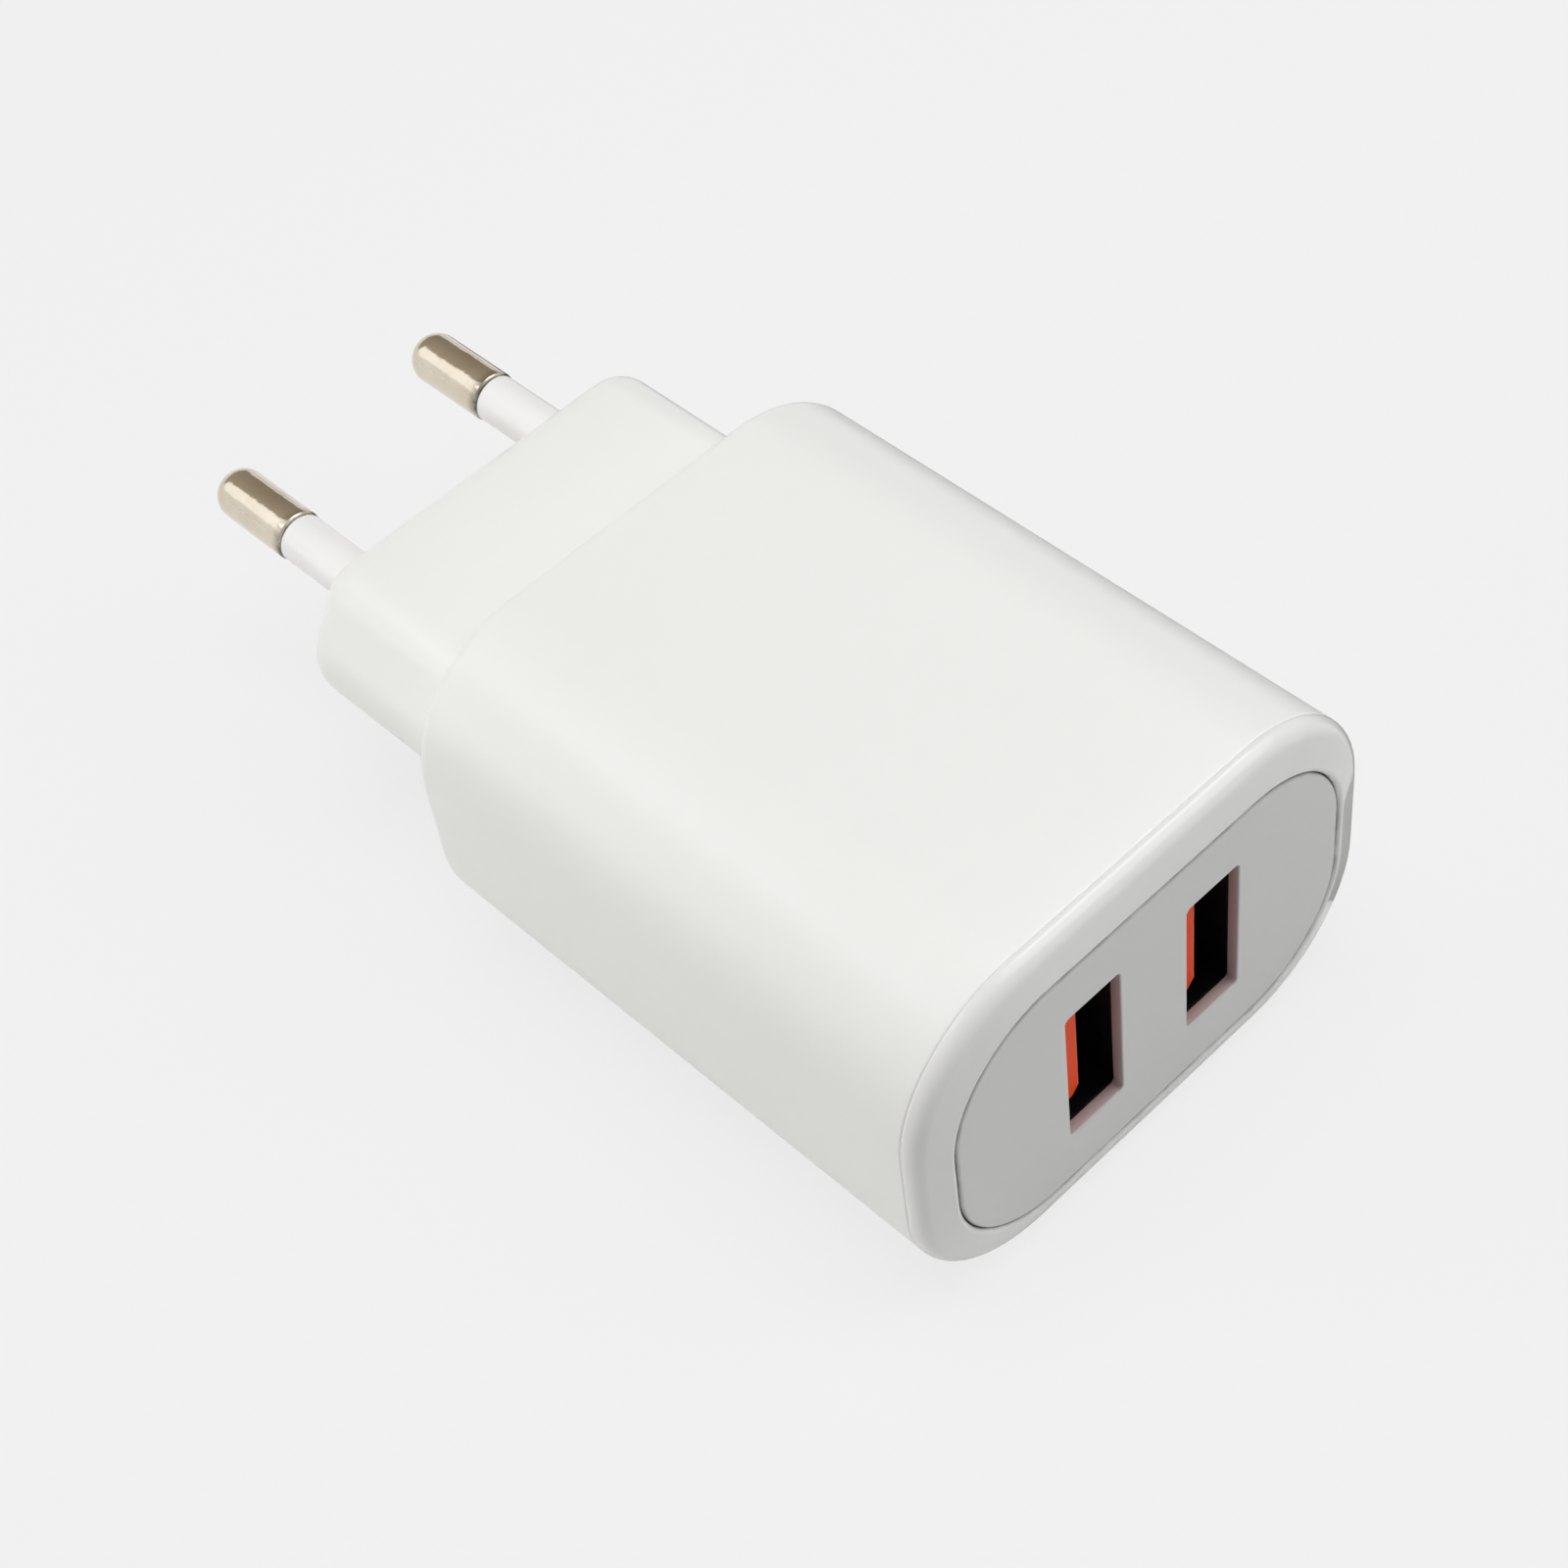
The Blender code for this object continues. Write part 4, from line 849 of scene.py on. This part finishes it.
# Each finish has its two tones and its range of roughness
FINISHES = {
    "satin_white": plastic(
        "satin_white", colour(0.83, 0.835, 0.815), colour(0.82, 0.825, 0.805), (0.28, 0.37),
        dust=0.05),
    "gloss_white": plastic(
        "gloss_white", colour(0.79, 0.79, 0.775), colour(0.775, 0.775, 0.76), (0.05, 0.09),
        depth=0.0006 * MM),
    # plate_white: tones below the rim's by a fitted factor, partly a greyer plastic and partly
    # painted shade of the front face; its colour for marks below 0 is painted shade inside the port
    # windows
    "plate_white": plastic(
        "plate_white", colour(0.65, 0.655, 0.645), colour(0.635, 0.64, 0.63), (0.28, 0.38),
        dust=0.12, recess_shade=colour(0.42, 0.29, 0.29)),
    "sleeve_white": plastic(
        "sleeve_white", colour(0.86, 0.85, 0.84), colour(0.84, 0.83, 0.82), (0.29, 0.38),
        depth=0.001 * MM),
    "nickel_plate": metal(
        "nickel_plate", colour(0.78, 0.71, 0.60), colour(0.70, 0.62, 0.50), (0.09, 0.16),
        waves=32.0),
    "brass_strip": metal(
        "brass_strip", colour(0.75, 0.58, 0.28), colour(0.66, 0.49, 0.22), (0.29, 0.42)),
    # dark_shell is near black so that the ports' insides render black: partly the shell's own dark
    # finish, partly painted shade inside the ports
    "dark_shell": metal(
        "dark_shell", colour(0.014, 0.014, 0.015), colour(0.010, 0.010, 0.011), (0.45, 0.6)),
    # Its marked colour paints a highlight along each tongue's rounded edge
    "orange_plastic": plastic(
        "orange_plastic", colour(0.98, 0.085, 0.012), colour(0.92, 0.07, 0.01), (0.35, 0.45),
        marked=colour(1.0, 0.4, 0.24), specular=0.12),
    "gold_plate": metal(
        "gold_plate", colour(0.85, 0.64, 0.27), colour(0.78, 0.57, 0.22), (0.34, 0.45)),
    "board_green": board_laminate(),
    "sheet_cream": plastic(
        "sheet_cream", colour(0.8, 0.76, 0.62), colour(0.75, 0.71, 0.57), (0.45, 0.55)),
    "ferrite": plastic(
        "ferrite", colour(0.06, 0.06, 0.065), colour(0.045, 0.045, 0.05), (0.5, 0.7),
        grain=5000.0, depth=0.02 * MM),
    "black_plastic": plastic(
        "black_plastic", colour(0.03, 0.03, 0.03), colour(0.04, 0.04, 0.042), (0.4, 0.55)),
    "yellow_tape": plastic(
        "yellow_tape", colour(0.82, 0.62, 0.08), colour(0.76, 0.55, 0.06), (0.3, 0.4)),
    "can_aluminium": metal(
        "can_aluminium", colour(0.75, 0.76, 0.77), colour(0.68, 0.69, 0.70), (0.29, 0.42)),
    "blue_coating": plastic(
        "blue_coating", colour(0.08, 0.22, 0.6), colour(0.06, 0.18, 0.52), (0.3, 0.45)),
    "brown_plastic": plastic(
        "brown_plastic", colour(0.25, 0.12, 0.06), colour(0.2, 0.095, 0.05), (0.35, 0.5)),
}
SLOTS = {entry["node"]: entry["material_slot"] for entry in frame["record"]["subparts"]}

for node, slot in SLOTS.items():
    shown = frame["nodes"][node]
    shown.data.materials.clear()
    shown.data.materials.append(FINISHES[slot])


def stand_for(name, parts, node, body="charger"):
    """Piece that stands for one node, with that node's slot and finish."""
    piece(name, parts, [node], body, FINISHES[SLOTS[node]])


stand_for("body_shell", housing_shell(), "housing")
stand_for("port_rim", front_rim(), "front_bezel")
stand_for("port_plate", faceplate(), "faceplate")
stand_for("plug_section", plug_shell(), "plug_block")
for side in SIDES:
    stand_for("round_pin_" + side, pin(side), "pin_" + side)
    stand_for("insulating_sleeve_" + side, pin_sleeve(side), "pin_sleeve_" + side)
    stand_for("port_shell_" + side, port_shell(side), "usb_shell_" + side)
    stand_for("port_tongue_" + side, port_tongue(side), "usb_tongue_" + side)
    for number in CONTACT_NUMBERS:
        stand_for("port_contact_%s_%d" % (side, number), port_contact(side, number),
                  "usb_contact_%s_%d" % (side, number), side + "_contact_row")


# Camera, fitted to the photograph
FRAME_PIXELS = 1600
FOCAL_PIXELS = 3151.7
SENSOR_WIDTH = 36.0
CLIP_START = 0.01
CAMERA_PLACE = Vector((-0.08413, -0.11622, 0.17044))
CAMERA_RIGHT = Vector((0.70936, -0.69775, -0.09976))
CAMERA_UP = Vector((0.58345, 0.50186, 0.63854))

# Floor and sky
BACKGROUND = 0.876
FLOOR_COLOUR = colour(0.88, 0.88, 0.88)
FLOOR_SIZE = 3.0
SHADOW_SHARE = 0.88
SHADOW_REACH = 0.15, 0.6
MIRROR_SHARE = 0.25
SKY_STRENGTH = 0.12

# Dark cards, which show only in reflections
CARD_TONES = colour(0.42, 0.375, 0.305), colour(0.27, 0.235, 0.185)
CARD_FADE = -0.13, 0.5
CARD_RIGHT = 1.2
CARD_DISTANCE = 0.45
CARD_BOTTOM, CARD_TOP = 0.1, 1.2
# Low card: a painted shadow on the floor beside the charger's right side, seen only in reflections
SHADE_TONES = colour(0.12, 0.12, 0.115), colour(0.7, 0.7, 0.7)
SHADE_FADE = 0.07, 0.3
SHADE_LEFT = RIM_HIGH[0] + 1.0 * MM
SHADE_FRONT, SHADE_REAR = FRONT - 0.75 * MM, 0.06
SHADE_LIFT = 0.4 * MM

# Lamps
LAMP_DISTANCE = 0.6


def add_camera():
    """Camera at the photograph's place and angle; its lens follows from the focal length."""
    data = bpy.data.cameras.new("camera")
    data.sensor_fit = "HORIZONTAL"
    data.sensor_width = SENSOR_WIDTH
    data.lens = FOCAL_PIXELS / FRAME_PIXELS * SENSOR_WIDTH
    data.clip_start = CLIP_START
    camera = bpy.data.objects.new("camera", data)
    turn = Matrix((CAMERA_RIGHT, CAMERA_UP, CAMERA_RIGHT.cross(CAMERA_UP))).transposed()
    camera.matrix_world = Matrix.Translation(CAMERA_PLACE) @ turn.to_4x4()
    bpy.context.scene.collection.objects.link(camera)
    bpy.context.scene.camera = camera


def seen_directly(tree, camera_share, mirror_share):
    """Share of the background's own tone for a camera ray, and for a ray off gloss or in glass."""
    path = add(tree, "LightPath").outputs
    bounced = maths(tree, "MAXIMUM", path["Is Glossy Ray"], path["Is Transmission Ray"])
    return maths(tree, "MAXIMUM", maths(tree, "MULTIPLY", path["Is Camera Ray"], camera_share),
                 maths(tree, "MULTIPLY", bounced, mirror_share))


def stage_sheet(name, corners):
    """Flat sheet of the studio, with an empty material: its object and its material's tree."""
    mesh = bpy.data.meshes.new(name)
    mesh.from_pydata(corners, [], [(0, 1, 2, 3)])
    sheet = bpy.data.objects.new(name, mesh)
    bpy.context.scene.collection.objects.link(sheet)
    material = bpy.data.materials.new(name)
    material.use_nodes = True
    mesh.materials.append(material)
    return sheet, material.node_tree


def level_corners(left, right, front, rear, height):
    """Corners of a level rectangle that faces up."""
    return [(left, front, height), (right, front, height), (right, rear, height),
            (left, rear, height)]


def add_floor():
    """Plain pale floor: part plain glow in the background's tone, so its shadow stays faint.

    The share of the glow grows with the distance from the charger, so the floor meets the sky
    without an edge.
    """
    reach = FLOOR_SIZE / 2
    _, tree = stage_sheet("floor", level_corners(-reach, reach, -reach, reach, FLOOR_Z))
    shader = tree.nodes["Principled BSDF"]
    shader.inputs["Base Color"].default_value = FLOOR_COLOUR
    shader.inputs["Roughness"].default_value = 1.0
    shader.inputs["Specular IOR Level"].default_value = 0.0
    glow = add(tree, "Emission", {"Color": WHITE, "Strength": BACKGROUND})
    place = add(tree, "TexCoord").outputs["Object"]
    distance = add(tree, "VectorMath", {0: place}, operation="LENGTH").outputs["Value"]
    camera_share = ranged(tree, distance, *SHADOW_REACH, SHADOW_SHARE, 1.0)
    share = seen_directly(tree, camera_share, MIRROR_SHARE)
    mixed = add(tree, "MixShader", {0: share, 1: shader.outputs[0], 2: glow.outputs[0]})
    feed(tree, tree.nodes["Material Output"].inputs["Surface"], mixed.outputs[0])


def add_card(name, corners, fade, tones):
    """Dark card that shows only in reflections: its tone runs along X between two colours."""
    card, tree = stage_sheet(name, corners)
    place = add(tree, "SeparateXYZ", {0: add(tree, "TexCoord").outputs["Object"]}).outputs["X"]
    tone = blend_colour(tree, ranged(tree, place, *fade, 0.0, 1.0), *tones)
    glow = add(tree, "Emission", {"Color": tone})
    feed(tree, tree.nodes["Material Output"].inputs["Surface"], glow.outputs[0])
    card.visible_camera = card.visible_diffuse = card.visible_shadow = False


def add_cards():
    """An upright card behind on the right and a low one on the right.

    The first is reflected as the dark half of each pin. The second, a painted shadow on the floor
    beside the charger that shows only in reflections, is reflected as the dark right end of the
    rim.
    """
    left, right = CARD_FADE[0], CARD_RIGHT
    upright = [(left, CARD_DISTANCE, CARD_BOTTOM), (right, CARD_DISTANCE, CARD_BOTTOM),
               (right, CARD_DISTANCE, CARD_TOP), (left, CARD_DISTANCE, CARD_TOP)]
    add_card("dark_card", upright, CARD_FADE, CARD_TONES)
    low = level_corners(SHADE_LEFT, SHADE_FADE[1], SHADE_FRONT, SHADE_REAR, FLOOR_Z + SHADE_LIFT)
    add_card("shade_card", low, SHADE_FADE, SHADE_TONES)


def add_sky():
    """Even sky: the background's tone where it is seen, a softer light elsewhere."""
    world = bpy.data.worlds.new("studio")
    world.use_nodes = True
    bpy.context.scene.world = world
    tree = world.node_tree
    lit = tree.nodes["Background"]
    lit.inputs["Strength"].default_value = SKY_STRENGTH
    lit.inputs["Color"].default_value = WHITE
    seen = add(tree, "Background", {"Color": WHITE, "Strength": BACKGROUND})
    share = seen_directly(tree, 1.0, 1.0)
    mixed = add(tree, "MixShader", {0: share, 1: lit.outputs[0], 2: seen.outputs[0]})
    feed(tree, tree.nodes["World Output"].inputs["Surface"], mixed.outputs[0])


def add_lamp(name, direction, size, power, tint=(1.0, 1.0, 1.0), lights=True, reflects=True):
    """Square soft lamp aimed at the charger's middle; it may only light, or only be reflected."""
    data = bpy.data.lights.new(name, "AREA")
    data.size = size
    data.energy = power
    data.color = tint
    lamp = bpy.data.objects.new(name, data)
    towards = Vector(direction).normalized()
    place = Vector((0, 0, MID_Z)) + towards * LAMP_DISTANCE
    turn = towards.to_track_quat("Z", "Y").to_matrix()
    lamp.matrix_world = Matrix.Translation(place) @ turn.to_4x4()
    lamp.visible_diffuse, lamp.visible_glossy = lights, reflects
    bpy.context.scene.collection.objects.link(lamp)


add_camera()
add_floor()
add_cards()
add_sky()
add_lamp("back_lamp", (-0.3, 0.5, 0.81), size=0.35, power=0.32, reflects=False)
add_lamp("pin_light", (-0.55, 0.52, 0.65), size=0.48, power=0.25, lights=False)
add_lamp("top_lamp", (0.0, 0.0, 1.0), size=0.4, power=2.12, reflects=False)
add_lamp("left_fill", (-0.75, 0.65, 0.12), size=0.3, power=1.78, tint=(1.0, 0.975, 0.955),
         reflects=False)
add_lamp("right_fill", (0.52, -0.45, 0.73), size=0.4, power=1.32, reflects=False)
add_lamp("shoulder_light", (-0.49, 0.48, 0.73), size=0.16, power=0.18, lights=False)
add_lamp("rim_light", (0.46, -0.18, 0.87), size=0.5, power=1.2, lights=False)
add_lamp("rim_strip", (0.46, 0.1, 0.88), size=0.15, power=0.12, lights=False)
bpy.context.scene.view_settings.view_transform = "Standard"
